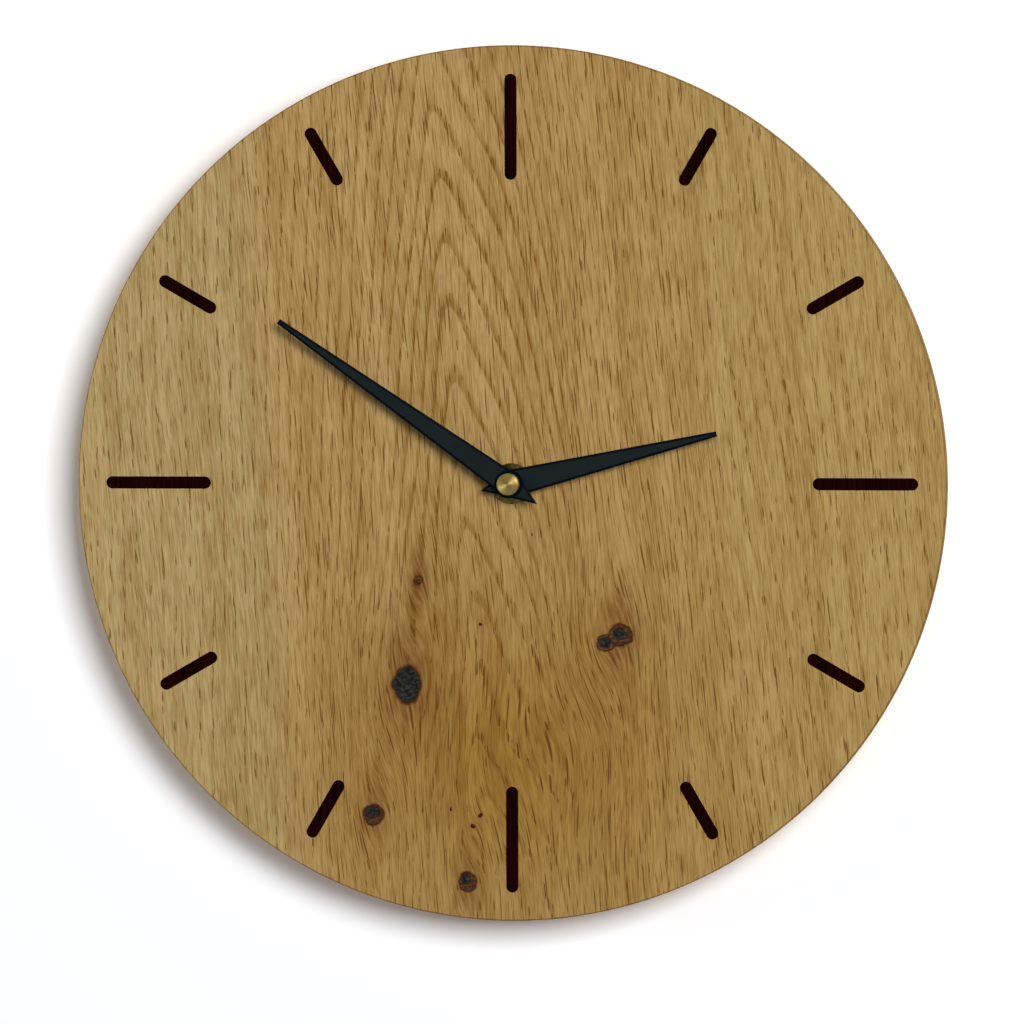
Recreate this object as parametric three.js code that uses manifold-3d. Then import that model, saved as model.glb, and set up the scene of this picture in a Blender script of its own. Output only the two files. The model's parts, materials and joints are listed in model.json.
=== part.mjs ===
// A round wooden wall clock with a battery movement, built piece by piece in millimetres.
// Everything is laid out as a clockmaker sees it: x to the right, y up towards twelve, and z towards
// the viewer, with z = 0 on the wall. The last lines turn this layout upright, so that y becomes +Z
// and the dial faces -Y. The origin is on the axis of the hands, where the movement touches the wall.

import * as THREE from "three";
import { mergeVertices } from "three/addons/utils/BufferGeometryUtils.js";
import Module from "manifold-3d";

const wasm = await Module();
wasm.setup();

// Fits
const seatGap = 0.3; // between a loose piece and what carries it
const runningGap = 0.3; // between turning pieces, round an arbor and along it
const pressGap = 0.1; // round a stud that a hand or a core is pushed onto
const overshoot = 1; // how far a cut runs past what it cuts

// Dial
const dialDiameter = 300;
const dialThickness = 5;
const dialEdgeChamfer = 0.5;
const dialFacets = 120;
const barWidth = 4.2;
const barDepth = 0.8;
const barOuterRadius = 140.3; // from the centre to the outer end of every bar
const longBarLength = 36.3; // at twelve, three, six and nine
const shortBarLength = 22.2;

// Hands, as clock angles from twelve, clockwise
const handThickness = 0.5;
const handTipWidth = 1.8;
const minuteHandLength = 97; // from the pivot to the tip
const minuteHandWidth = 8.6;
const minuteHandTail = 12; // from the pivot to the tail's point
const minuteHandShoulder = 0.8; // how far behind the pivot it is widest
const minuteHandAngle = 305;
const hourHandLength = 73.5;
const hourHandWidth = 9.5;
const hourHandTail = 10.2;
const hourHandAngle = 76.4;
const handClearance = 0.8; // clear height between the bushing's end and the hour hand
const handSpacing = 1.7; // clear height between the two hands

// Centre fittings
const bushingDiameter = 8;
const bushingFlangeDiameter = 10.4;
const bushingFlangeThickness = 0.4;
const bushingProud = 0.6; // how far the bushing stands out of its nut
const washerDiameter = 13.9;
const washerThickness = 1;
const nutAcrossFlats = 11;
const nutThickness = 2;
const nutTurn = 13; // degrees, as it was tightened
const capNutDiameter = 7.5;
const capNutHeight = 3.5;
const capNutBevel = 0.7;
const capNutCone = 0.35; // how much its turned face rises to the middle
const capNutWall = 1.1; // closed end over the thread
const gasketThickness = 0.5;
const gasketDiameter = 40;

// Hanger, one strip of steel bent over the top of the movement
const hangerThickness = 0.8;
const hangerWidth = 22;
const hangerWallGap = 1; // between its eye and the wall
const hangerRim = 2.4; // steel left above and below the nail's keyhole
const hangerLeafDrop = 8; // how far the leaf reaches below the bushing's axis
const nailHoleDiameter = 7;
const nailSlotWidth = 4.6;
const nailSlotLength = 4.5; // from the middle of the hole up to the middle of the slot's end

// Movement case
const caseCornerRadius = 3;
const frontWall = 1;
const sideWall = 1.2;
const cellEndRoom = 1.55; // between each end of the cell and a side wall, for a contact
const coilRoom = 0.9; // between the coil and the top wall
const wellRoom = 0.53; // between the knob's well and the partition
const coverThickness = 1.2;
const partitionThickness = 1;
const lipLength = 24; // the lips that hold the cell in its bay
const lipReach = 1.8;
const lipHeight = 2.4;
const postRadius = 1.3;
const pinRadius = 0.5;
const pinProud = 0.8; // how far a pin stands through the piece that it holds
const bossWall = 0.7;

// Battery cell, size AA
const cellDiameter = 14.5;
const cellLength = 50.5;
const cellNubDiameter = 5.5;
const cellNubLength = 1.2;
const cellEdgeRadius = 0.6;
const cellBackGap = 0.2; // how far the cell lies below the wall face

// Gears: 20 degree involute teeth
const pressureAngle = THREE.MathUtils.degToRad(20);
const addendum = 0.9; // in modules
const dedendum = 1.25; // in modules
const backlash = 0.12; // in modules, on the pitch circle
const wheelThickness = 0.5;
const motionWheelThickness = 0.6;
const pinionOverhang = 0.6; // how far a pinion runs past the wheel that it drives
const wheelSpacing = 1.4; // clear height between one wheel of the train and the next
const arborRadius = 0.5;
const minuteArborRadius = 1.45;
const handStudRadius = 1.2; // threaded end of the minute arbor
const hourPipeWall = 0.65;
const hourPipeStep = 0.3; // the hour hand's seat is smaller than the pipe by this much

// Centre distances of the train
const motionDistance = 7.2; // hands' axis to minute wheel
const trainDistance = 8.5; // hands' axis to third wheel
const rotorDistance = 7; // intermediate wheel to rotor

// Directions of the centre lines, in degrees anticlockwise from three o'clock
const motionDirection = -20;
const settingDirection = -5;
const trainDirection = 150;
const stepDirection = 70;
const rotorDirection = 60;

// Teeth
const cannonTeeth = 10;
const minuteWheelTeeth = 30;
const minutePinionTeeth = 8;
const hourWheelTeeth = 32;
const settingTeeth = 15;
const centreWheelTeeth = 64;
const thirdPinionTeeth = 8;
const thirdWheelTeeth = 60;
const secondsPinionTeeth = 8;
const secondsWheelTeeth = 40;
const intermediatePinionTeeth = 8;
const intermediateWheelTeeth = 48;
const rotorPinionTeeth = 8;

// Setting knob
const knobDiameter = 10;
const knobThickness = 2;
const knobSunk = 0.4; // how far its face lies below the wall face
const knobShaftRadius = 1.2;
const knobRibs = 18;
const knobRibDepth = 0.4;
const wellGap = 1.2; // finger room round the knob
const wellWall = 0.8;
const wellFloor = 1;

// Stepping motor
const magnetDiameter = 5;
const magnetThickness = 1.2;
const magnetGap = 0.6; // between the intermediate wheel and the magnet in front of it
const statorThickness = 0.8;
const statorGap = 0.5; // between magnet and stator
const statorNeck = 0.6; // metal left above and below the rotor's hole
const statorLegWidth = 4;
const coilLength = 14;
const coilDiameter = 7.2;
const bobbinWall = 0.4;
const bobbinFlangeThickness = 0.8;
const bobbinFlangeDiameter = 8;

// Bridge and electronics
const bridgeThickness = 1;
const bridgeRim = 1; // left round the shoulder of a post
const bridgeWellGap = 2;
const bridgeFootGap = 3.4; // between the partition and the bridge
const boardThickness = 0.8;
const boardWidth = 8.4;
const boardPinInset = 3.2; // from an end of the board to the pin that holds it
const boardPartGap = 1; // between one part on the board and the next
const chipDiameter = 5;
const chipHeight = 1;
const crystalDiameter = 2;
const crystalLength = 6;
const contactThickness = 0.35;
const contactWidth = 3.2;
const contactDrop = 5; // how far a contact reaches below the middle of the cell
const contactTab = 5.4; // how far the negative contact reaches up the board

// Facets round a full turn
const pinFacets = 12; // pins, posts and arbors
const roundFacets = 20; // pipes, nuts and small turned pieces
const discFacets = 32; // washers, wells and other wide discs
const arcSteps = 5; // along each rounded end or corner
const domeSteps = 3; // from the rim of a dome to its middle

// Solids

// Turns a closed three.js geometry into a solid that can be joined and cut.
function solid(geometry) {
  const bare = new THREE.BufferGeometry();
  bare.setAttribute("position", geometry.getAttribute("position"));
  bare.setIndex(geometry.index);
  const merged = mergeVertices(bare, 1e-4);
  return new wasm.Manifold(
    new wasm.Mesh({
      numProp: 3,
      vertProperties: new Float32Array(merged.attributes.position.array),
      triVerts: new Uint32Array(merged.index.array),
    }),
  );
}

// A solid of revolution about z. The profile lists [radius, z] and runs up its outer side.
function turned(profile, facets) {
  const points = profile.map(([radius, z]) => new THREE.Vector2(radius, z));
  return solid(new THREE.LatheGeometry(points, facets).rotateX(Math.PI / 2));
}

function rod(radius, z0, z1, facets = roundFacets) {
  return turned([[0, z0], [radius, z0], [radius, z1], [0, z1]], facets);
}

function tube(outer, inner, z0, z1, facets = roundFacets) {
  return turned([[inner, z0], [outer, z0], [outer, z1], [inner, z1], [inner, z0]], facets);
}

function extruded(shape, z0, z1, curveSegments = arcSteps) {
  const geometry = new THREE.ExtrudeGeometry(shape, {
    depth: z1 - z0,
    bevelEnabled: false,
    curveSegments,
  });
  return solid(geometry.translate(0, 0, z0));
}

// A block between two corners.
function block([x0, y0, z0], [x1, y1, z1]) {
  const geometry = new THREE.BoxGeometry(x1 - x0, y1 - y0, z1 - z0);
  return solid(geometry.translate((x0 + x1) / 2, (y0 + y1) / 2, (z0 + z1) / 2));
}

// The cut for a hole through a plate that lies between two heights.
function throughHole([x, y], radius, z0, z1, facets = pinFacets) {
  return rod(radius, z0 - overshoot, z1 + overshoot, facets).translate([x, y, 0]);
}

function joined(solids) {
  return solids.reduce((whole, next) => whole.add(next));
}

function roundedRectangle(x0, y0, x1, y1, radius) {
  const shape = new THREE.Shape();
  shape.moveTo(x0 + radius, y0);
  shape.lineTo(x1 - radius, y0);
  shape.absarc(x1 - radius, y0 + radius, radius, -Math.PI / 2, 0, false);
  shape.lineTo(x1, y1 - radius);
  shape.absarc(x1 - radius, y1 - radius, radius, 0, Math.PI / 2, false);
  shape.lineTo(x0 + radius, y1);
  shape.absarc(x0 + radius, y1 - radius, radius, Math.PI / 2, Math.PI, false);
  shape.lineTo(x0, y0 + radius);
  shape.absarc(x0 + radius, y0 + radius, radius, Math.PI, 1.5 * Math.PI, false);
  return shape;
}

// The outline of a sheet of even thickness, bent to run through the points, with the points on its
// right-hand side as it runs.
function bentSheet(points, thickness) {
  const path = points.map(([x, y]) => new THREE.Vector2(x, y));
  const directions = path.slice(1).map((point, i) => point.clone().sub(path[i]).normalize());
  const offset = path.map((point, i) => {
    const before = directions[Math.max(0, i - 1)];
    const after = directions[Math.min(directions.length - 1, i)];
    const along = before.clone().add(after).normalize();
    const reach = thickness / along.dot(before);
    return point.clone().add(new THREE.Vector2(-along.y, along.x).multiplyScalar(reach));
  });
  return new THREE.Shape([...path, ...offset.reverse()]);
}

function piece(name, body, material) {
  const { vertProperties, triVerts } = body.getMesh();
  const indexed = new THREE.BufferGeometry();
  indexed.setAttribute("position", new THREE.BufferAttribute(vertProperties, 3));
  indexed.setIndex(new THREE.BufferAttribute(triVerts, 1));
  const geometry = indexed.toNonIndexed();
  geometry.computeVertexNormals();
  const mesh = new THREE.Mesh(geometry, material);
  mesh.name = name;
  return mesh;
}

// Pieces that share an axis, which stands at a place on the dial plane and may be turned.
function onAxis([x, y], meshes, turn = 0) {
  const axis = new THREE.Group();
  axis.position.set(x, y, 0);
  axis.rotation.z = turn;
  axis.add(...meshes);
  return axis;
}

// The point at a distance and an angle from another.
function stepped([x, y], distance, angle) {
  return [x + distance * Math.cos(angle), y + distance * Math.sin(angle)];
}

// Gears

const leastPlainTeeth = 17; // a gear with fewer teeth has its teeth moved outwards
const pinionFlankSteps = 2;
const wheelFlankSteps = 1;

function involute(angle) {
  return Math.tan(angle) - angle;
}

// A pinion and a wheel that mesh at a distance. What moves the pinion's teeth out moves the wheel's in.
function gearPair(pinionTeeth, wheelTeeth, distance) {
  const module = (2 * distance) / (pinionTeeth + wheelTeeth);
  const shift = Math.max(0, 1 - pinionTeeth / leastPlainTeeth);
  return {
    module,
    shift,
    pinion: { teeth: pinionTeeth, module, shift, flankSteps: pinionFlankSteps },
    wheel: { teeth: wheelTeeth, module, shift: -shift, flankSteps: wheelFlankSteps },
  };
}

function tipRadius({ teeth, module, shift }) {
  return module * (teeth / 2 + addendum + shift);
}

// The outline of a gear that has the middle of one tooth on the x axis.
function gearShape({ teeth, module, shift, flankSteps }) {
  const pitchRadius = (module * teeth) / 2;
  const baseRadius = pitchRadius * Math.cos(pressureAngle);
  const rootRadius = pitchRadius - module * (dedendum - shift);
  const widening = 2 * shift * Math.tan(pressureAngle) - backlash / 2;
  const pitchHalfAngle = (Math.PI / 2 + widening) / teeth;
  const halfAngleAt = (radius) => {
    const slope = Math.acos(Math.min(1, baseRadius / radius));
    return pitchHalfAngle + involute(pressureAngle) - involute(slope);
  };
  const flankStart = Math.max(rootRadius, baseRadius);
  const radii = [rootRadius];
  for (let step = 1; step <= flankSteps; step++) {
    const share = step / flankSteps;
    radii.push(THREE.MathUtils.lerp(flankStart, tipRadius({ teeth, module, shift }), share));
  }
  const flank = radii.map((radius) => [radius, halfAngleAt(radius)]);
  const points = [];
  for (let tooth = 0; tooth < teeth; tooth++) {
    const middle = (2 * Math.PI * tooth) / teeth;
    for (const [radius, half] of flank) {
      points.push(new THREE.Vector2(...stepped([0, 0], radius, middle - half)));
    }
    for (const [radius, half] of flank.toReversed()) {
      points.push(new THREE.Vector2(...stepped([0, 0], radius, middle + half)));
    }
  }
  return new THREE.Shape(points);
}

function gear(spec, z0, z1) {
  return extruded(gearShape(spec), z0, z1);
}

// The turn that lets a gear mesh with one that is already placed, in the direction between them.
function meshedTurn(driver, driverTurn, follower, direction) {
  const driverPhase = ((driverTurn - direction) * driver.teeth) / (2 * Math.PI);
  return direction + Math.PI + ((0.5 - driverPhase) * 2 * Math.PI) / follower.teeth;
}

// Heights above the wall, from the case to the hands
const caseDepth = cellBackGap + cellDiameter + seatGap + frontWall;
const frontInside = caseDepth - frontWall;
const hangerFront = caseDepth + hangerThickness;
const dialBack = hangerFront + gasketThickness;
const dialFront = dialBack + dialThickness;
const washerFront = dialFront + washerThickness;
const nutFront = washerFront + nutThickness;
const bushingFront = nutFront + bushingProud;
const hourHandBack = bushingFront + handClearance;
const hourHandFront = hourHandBack + handThickness;
const minuteHandBack = hourHandFront + handSpacing;
const minuteHandFront = minuteHandBack + handThickness;
const capNutFront = minuteHandFront + capNutHeight;
const handStudFront = capNutFront - capNutWall - seatGap;

// Heights of the wheels, from the front of the case to the bridge
const hourWheelTop = frontInside - bushingFlangeThickness - runningGap;
const hourWheelBottom = hourWheelTop - motionWheelThickness;
const cannonTop = hourWheelBottom - runningGap;
const minuteWheelTop = cannonTop - runningGap;
const minuteWheelBottom = minuteWheelTop - motionWheelThickness;
const centreWheelTop = minuteWheelBottom - wheelSpacing;
const centreWheelBottom = centreWheelTop - wheelThickness;
const thirdWheelTop = centreWheelBottom - wheelSpacing;
const thirdWheelBottom = thirdWheelTop - wheelThickness;
const secondsWheelTop = thirdWheelBottom - wheelSpacing;
const secondsWheelBottom = secondsWheelTop - wheelThickness;
const intermediateWheelTop = secondsWheelBottom - wheelSpacing;
const intermediateWheelBottom = intermediateWheelTop - wheelThickness;
const rotorPinionBottom = intermediateWheelBottom - pinionOverhang;
const magnetBottom = intermediateWheelTop + magnetGap;
const magnetTop = magnetBottom + magnetThickness;
const statorBottom = (magnetBottom + magnetTop - statorThickness) / 2;
const statorTop = statorBottom + statorThickness;
const coreBottom = statorBottom - statorThickness;
const coilHeight = (coreBottom + statorBottom) / 2;
const bridgeTop = rotorPinionBottom - runningGap;
const bridgeBottom = bridgeTop - bridgeThickness;
const pivotBack = bridgeBottom - runningGap;
const pivotFront = frontInside - runningGap;
const settingPinionBottom = minuteWheelBottom - runningGap;
const settingPinionTop = minuteWheelTop + runningGap;

// Gears and their places
const motionPair = gearPair(cannonTeeth, minuteWheelTeeth, motionDistance);
const hourPair = gearPair(minutePinionTeeth, hourWheelTeeth, motionDistance);
const settingPinionGear = { ...motionPair.pinion, teeth: settingTeeth };
const settingDistance = (motionPair.module * (minuteWheelTeeth + settingTeeth)) / 2;
const trainPair = gearPair(thirdPinionTeeth, centreWheelTeeth, trainDistance);
const secondsPair = gearPair(secondsPinionTeeth, thirdWheelTeeth, trainDistance);
const stepDistance = tipRadius(trainPair.wheel) + arborRadius + runningGap;
const stepPair = gearPair(intermediatePinionTeeth, secondsWheelTeeth, stepDistance);
const rotorPair = gearPair(rotorPinionTeeth, intermediateWheelTeeth, rotorDistance);

const toMotion = THREE.MathUtils.degToRad(motionDirection);
const toSetting = THREE.MathUtils.degToRad(settingDirection);
const toThird = THREE.MathUtils.degToRad(trainDirection);
const toStep = THREE.MathUtils.degToRad(stepDirection);
const toRotor = THREE.MathUtils.degToRad(rotorDirection);

const handsAxis = [0, 0];
const minuteWheelAxis = stepped(handsAxis, motionDistance, toMotion);
const settingAxis = stepped(minuteWheelAxis, settingDistance, toSetting);
const thirdAxis = stepped(handsAxis, trainDistance, toThird);
const intermediateAxis = stepped(handsAxis, stepDistance, toStep);
const rotorAxis = stepped(intermediateAxis, rotorDistance, toRotor);

const centreTurn = 0;
const minuteWheelTurn = meshedTurn(motionPair.pinion, centreTurn, motionPair.wheel, toMotion);
const hourWheelTurn = meshedTurn(hourPair.pinion, minuteWheelTurn, hourPair.wheel, toMotion + Math.PI);
const settingTurn = meshedTurn(motionPair.wheel, minuteWheelTurn, settingPinionGear, toSetting);
const thirdTurn = meshedTurn(trainPair.wheel, centreTurn, trainPair.pinion, toThird);
const secondsTurn = meshedTurn(secondsPair.wheel, thirdTurn, secondsPair.pinion, toThird + Math.PI);
const intermediateTurn = meshedTurn(stepPair.wheel, secondsTurn, stepPair.pinion, toStep);
const rotorTurn = meshedTurn(rotorPair.wheel, intermediateTurn, rotorPair.pinion, toRotor);

// Places in the case
const bushingHoleRadius = bushingDiameter / 2 + seatGap;
const arborBoreRadius = arborRadius + runningGap;
const pinHoleRadius = pinRadius + seatGap;
const hourPipeBore = minuteArborRadius + runningGap;
const hourPipeRadius = hourPipeBore + hourPipeWall;
const hourSeatRadius = hourPipeRadius - hourPipeStep;
const bushingBore = hourPipeRadius + runningGap;
const knobRadius = knobDiameter / 2;
const wellRadius = knobRadius + wellGap;
const wellOutside = wellRadius + wellWall;
const wellDepth = knobSunk + knobThickness + seatGap;
const wellBoreRadius = knobShaftRadius + runningGap;

const statorHoleRadius = magnetDiameter / 2 + statorGap;
const statorHalfBar = statorHoleRadius + statorNeck;
const coilY = rotorAxis[1] + statorHalfBar + seatGap + bobbinFlangeDiameter / 2;
const coilHalf = coilLength / 2 + bobbinFlangeThickness;
const legInside = coilHalf + seatGap;
const legOutside = legInside + statorLegWidth;
const legMiddle = legInside + statorLegWidth / 2;
const bobbinBarrelRadius = statorLegWidth / 2 + bobbinWall + seatGap;
const statorPosts = [-legMiddle, legMiddle].map((x) => [rotorAxis[0] + x, coilY]);

// The case takes its width from the cell, its top from the coil and its bottom from the knob's well
// and the cell below it.
const partitionTop = settingAxis[1] - wellOutside - wellRoom;
const bayTop = partitionTop - partitionThickness;
const cellY = bayTop - seatGap - cellDiameter / 2;
const cellHeight = cellBackGap + cellDiameter / 2;
const insideLow = cellY - cellDiameter / 2 - seatGap;
const insideTop = coilY + bobbinFlangeDiameter / 2 + coilRoom;
const insideHalf = cellLength / 2 + cellEndRoom;
const caseHalf = insideHalf + sideWall;
const caseTop = insideTop + sideWall;
const caseLow = insideLow - sideWall;

const contactBack = cellHeight - contactWidth / 2;
const contactX = insideHalf - seatGap - contactThickness; // face of a contact against the side wall
const contactTouchX = cellLength / 2 + seatGap; // face of a contact against the cell
const contactY = partitionTop + seatGap;
const boardLeft = -contactX + seatGap;
const boardLow = contactY + contactThickness + seatGap;
const boardBack = cellHeight + seatGap;
const boardFront = boardBack + boardThickness;
const boardMiddle = boardLeft + boardWidth / 2;
const lowPinY = boardLow + boardPinInset;
const chipY = lowPinY + pinRadius + boardPartGap + chipDiameter / 2;
const crystalLow = chipY + chipDiameter / 2 + boardPartGap;
const highPinY = crystalLow + crystalLength + boardPartGap + pinRadius;
const boardTop = highPinY + boardPinInset;
const boardPosts = [lowPinY, highPinY].map((y) => [boardMiddle, y]);

const bridgeReach = postRadius + bridgeRim; // from the middle of a post to the bridge's edge
const bridgeLeft = boardLeft + boardWidth;
const bridgeLow = partitionTop + bridgeFootGap;
const bridgeHigh = coilY - bobbinFlangeDiameter / 2 - coilRoom;
const statorLow = rotorAxis[1] - statorHalfBar;
const bridgePosts = [
  [bridgeLeft + bridgeReach, bridgeLow + bridgeReach],
  [bridgeLeft + bridgeReach, bridgeHigh - bridgeReach],
  [settingAxis[0], (settingAxis[1] + wellOutside + statorLow) / 2],
];

// Materials

function finish(color, roughness, metalness) {
  return new THREE.MeshStandardMaterial({ color, roughness, metalness });
}

const oak = finish("#b8996b", 0.65, 0);
const blackEnamel = finish("#1f2424", 0.55, 0);
const brass = finish("#b39a55", 0.3, 1);
const steel = finish("#a9adb0", 0.35, 1);
const blackPlastic = finish("#1b1c1e", 0.5, 0);
const whitePlastic = finish("#e8e6df", 0.45, 0);
const rubber = finish("#26272a", 0.85, 0);
const copper = finish("#b5673a", 0.3, 1);
const circuitBoard = finish("#8a6b3a", 0.6, 0);
const magnetGrey = finish("#5b5e62", 0.5, 0.8);
const cellSleeve = finish("#3b6f8f", 0.35, 0.2);

// Dial and hands

// One round-ended bar, pointing at twelve, that is sunk into the face.
function barCut(length) {
  const half = barWidth / 2;
  const outer = barOuterRadius - half;
  const inner = barOuterRadius - length + half;
  const shape = new THREE.Shape();
  shape.moveTo(half, inner);
  shape.lineTo(half, outer);
  shape.absarc(0, outer, half, 0, Math.PI, false);
  shape.lineTo(-half, inner);
  shape.absarc(0, inner, half, Math.PI, 2 * Math.PI, false);
  return extruded(shape, dialFront - barDepth, dialFront + barDepth);
}

function dialPlate() {
  const radius = dialDiameter / 2;
  const flatRadius = radius - dialEdgeChamfer;
  const board = turned(
    [
      [0, dialBack],
      [flatRadius, dialBack],
      [radius, dialBack + dialEdgeChamfer],
      [radius, dialFront - dialEdgeChamfer],
      [flatRadius, dialFront],
      [0, dialFront],
    ],
    dialFacets,
  );
  const bars = [];
  for (let hour = 0; hour < 12; hour++) {
    const length = hour % 3 === 0 ? longBarLength : shortBarLength;
    bars.push(barCut(length).rotate([0, 0, -30 * hour]));
  }
  const bore = rod(bushingHoleRadius, dialBack - overshoot, dialFront + overshoot);
  return piece("dial_plate", board.subtract(joined(bars)).subtract(bore), oak);
}

// A tapered hand that points at twelve, with a blunt tip and a pointed tail.
function handBody({ length, width, tail, shoulder, bore, back }) {
  const shape = new THREE.Shape([
    new THREE.Vector2(0, -tail),
    new THREE.Vector2(width / 2, -shoulder),
    new THREE.Vector2(handTipWidth / 2, length),
    new THREE.Vector2(-handTipWidth / 2, length),
    new THREE.Vector2(-width / 2, -shoulder),
  ]);
  shape.holes.push(new THREE.Path().absarc(0, 0, bore, 0, 2 * Math.PI, true));
  return extruded(shape, back, back + handThickness, pinFacets);
}

function hourHand() {
  const body = handBody({
    length: hourHandLength,
    width: hourHandWidth,
    tail: hourHandTail,
    shoulder: 0,
    bore: hourSeatRadius + pressGap,
    back: hourHandBack,
  });
  return piece("hour_hand", body, blackEnamel);
}

function minuteHand() {
  const body = handBody({
    length: minuteHandLength,
    width: minuteHandWidth,
    tail: minuteHandTail,
    shoulder: minuteHandShoulder,
    bore: handStudRadius + pressGap,
    back: minuteHandBack,
  });
  return piece("minute_hand", body, blackEnamel);
}

// Closed nut over the end of the minute arbor, with a bevelled rim and a slightly conical face.
function capNut() {
  const radius = capNutDiameter / 2;
  const rim = capNutFront - capNutCone;
  const body = turned(
    [
      [0, minuteHandFront],
      [radius, minuteHandFront],
      [radius, rim - capNutBevel],
      [radius - capNutBevel, rim],
      [0, capNutFront],
    ],
    discFacets,
  );
  const thread = rod(handStudRadius + seatGap, minuteHandFront - overshoot, capNutFront - capNutWall);
  return piece("hand_cap_nut", body.subtract(thread), brass);
}

// Fittings that clamp the movement to the dial

function dialWasher() {
  const radius = washerDiameter / 2;
  return piece("dial_washer", tube(radius, bushingHoleRadius, dialFront, washerFront, discFacets), brass);
}

// Hexagon nut whose corners are turned off at 30 degrees on both faces.
function dialNut() {
  const corner = nutAcrossFlats / Math.sqrt(3);
  const drop = (corner - nutAcrossFlats / 2) * Math.tan(Math.PI / 6);
  const prism = rod(corner, washerFront, nutFront, 6);
  const cone = turned(
    [
      [0, washerFront],
      [nutAcrossFlats / 2, washerFront],
      [corner, washerFront + drop],
      [corner, nutFront - drop],
      [nutAcrossFlats / 2, nutFront],
      [0, nutFront],
    ],
    discFacets,
  );
  const thread = rod(bushingHoleRadius, washerFront - overshoot, nutFront + overshoot);
  const nut = piece("dial_hex_nut", prism.intersect(cone).subtract(thread), brass);
  nut.rotation.z = -THREE.MathUtils.degToRad(nutTurn);
  return nut;
}

function threadedBushing() {
  const radius = bushingDiameter / 2;
  const flangeBack = frontInside - bushingFlangeThickness;
  const body = turned(
    [
      [bushingBore, flangeBack],
      [bushingFlangeDiameter / 2, flangeBack],
      [bushingFlangeDiameter / 2, frontInside],
      [radius, frontInside],
      [radius, bushingFront],
      [bushingBore, bushingFront],
      [bushingBore, flangeBack],
    ],
    roundFacets,
  );
  return piece("threaded_bushing", body, brass);
}

function gasket() {
  const body = tube(gasketDiameter / 2, bushingHoleRadius, hangerFront, dialBack, discFacets);
  return piece("rubber_gasket", body, rubber);
}

// One steel strip: a leaf under the gasket, a shelf over the case and an eye near the wall.
function hanger() {
  const shelf = caseTop + seatGap;
  const holeY = shelf + hangerThickness + hangerRim + nailHoleDiameter / 2;
  const slotEnd = holeY + nailSlotLength;
  const slotHalf = nailSlotWidth / 2;
  const eyeTop = slotEnd + slotHalf + hangerRim;
  const strip = bentSheet(
    [
      [-hangerLeafDrop, caseDepth],
      [shelf, caseDepth],
      [shelf, hangerWallGap],
      [eyeTop, hangerWallGap],
    ],
    hangerThickness,
  );
  const half = hangerWidth / 2;
  const body = extruded(strip, -half, half).rotate([90, 0, 90]);
  const corner = hangerWidth / 4;
  const outline = roundedRectangle(-half, -hangerLeafDrop, half, eyeTop, corner);
  const behind = hangerWallGap - overshoot;
  const before = hangerWallGap + hangerThickness + overshoot;
  const cuts = joined([
    rod(bushingHoleRadius, caseDepth - overshoot, hangerFront + overshoot),
    rod(nailHoleDiameter / 2, behind, before).translate([0, holeY, 0]),
    rod(slotHalf, behind, before).translate([0, slotEnd, 0]),
    block([-slotHalf, holeY, behind], [slotHalf, slotEnd, before]),
  ]);
  const whole = body.intersect(extruded(outline, 0, hangerFront + overshoot));
  return piece("wall_hanger", whole.subtract(cuts), steel);
}

// Movement case

// A post on the inside of the front wall. It ends in a shoulder and a pin that holds a plate.
function post([x, y], shoulder, pinEnd) {
  const body = turned(
    [
      [0, pinEnd],
      [pinRadius, pinEnd],
      [pinRadius, shoulder],
      [postRadius, shoulder],
      [postRadius, frontInside],
      [0, frontInside],
    ],
    pinFacets,
  );
  return body.translate([x, y, 0]);
}

// A hollow boss on the inside of the front wall, in which the front end of an arbor turns.
function boss([x, y], back, arbor) {
  const bore = arbor + runningGap;
  return tube(bore + bossWall, bore, back, frontInside, pinFacets).translate([x, y, 0]);
}

// The outline of the case, or of its walls' inner faces.
function caseOutline(inset) {
  const radius = Math.max(seatGap, caseCornerRadius - inset);
  return roundedRectangle(
    -caseHalf + inset,
    caseLow + inset,
    caseHalf - inset,
    caseTop - inset,
    radius,
  );
}

// A block over the wheel chamber, from above the cell's bay to past the case's outline.
function overChamber(low, back, front) {
  return block([-caseHalf - overshoot, low, back], [caseHalf + overshoot, caseTop + overshoot, front]);
}

// The two lips along the bay that the cell snaps past, one on each long wall.
function cellLips() {
  const half = lipLength / 2;
  return [
    block([-half, insideLow, 0], [half, insideLow + lipReach, lipHeight]),
    block([-half, bayTop - lipReach, coverThickness], [half, bayTop, lipHeight]),
  ];
}

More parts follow.
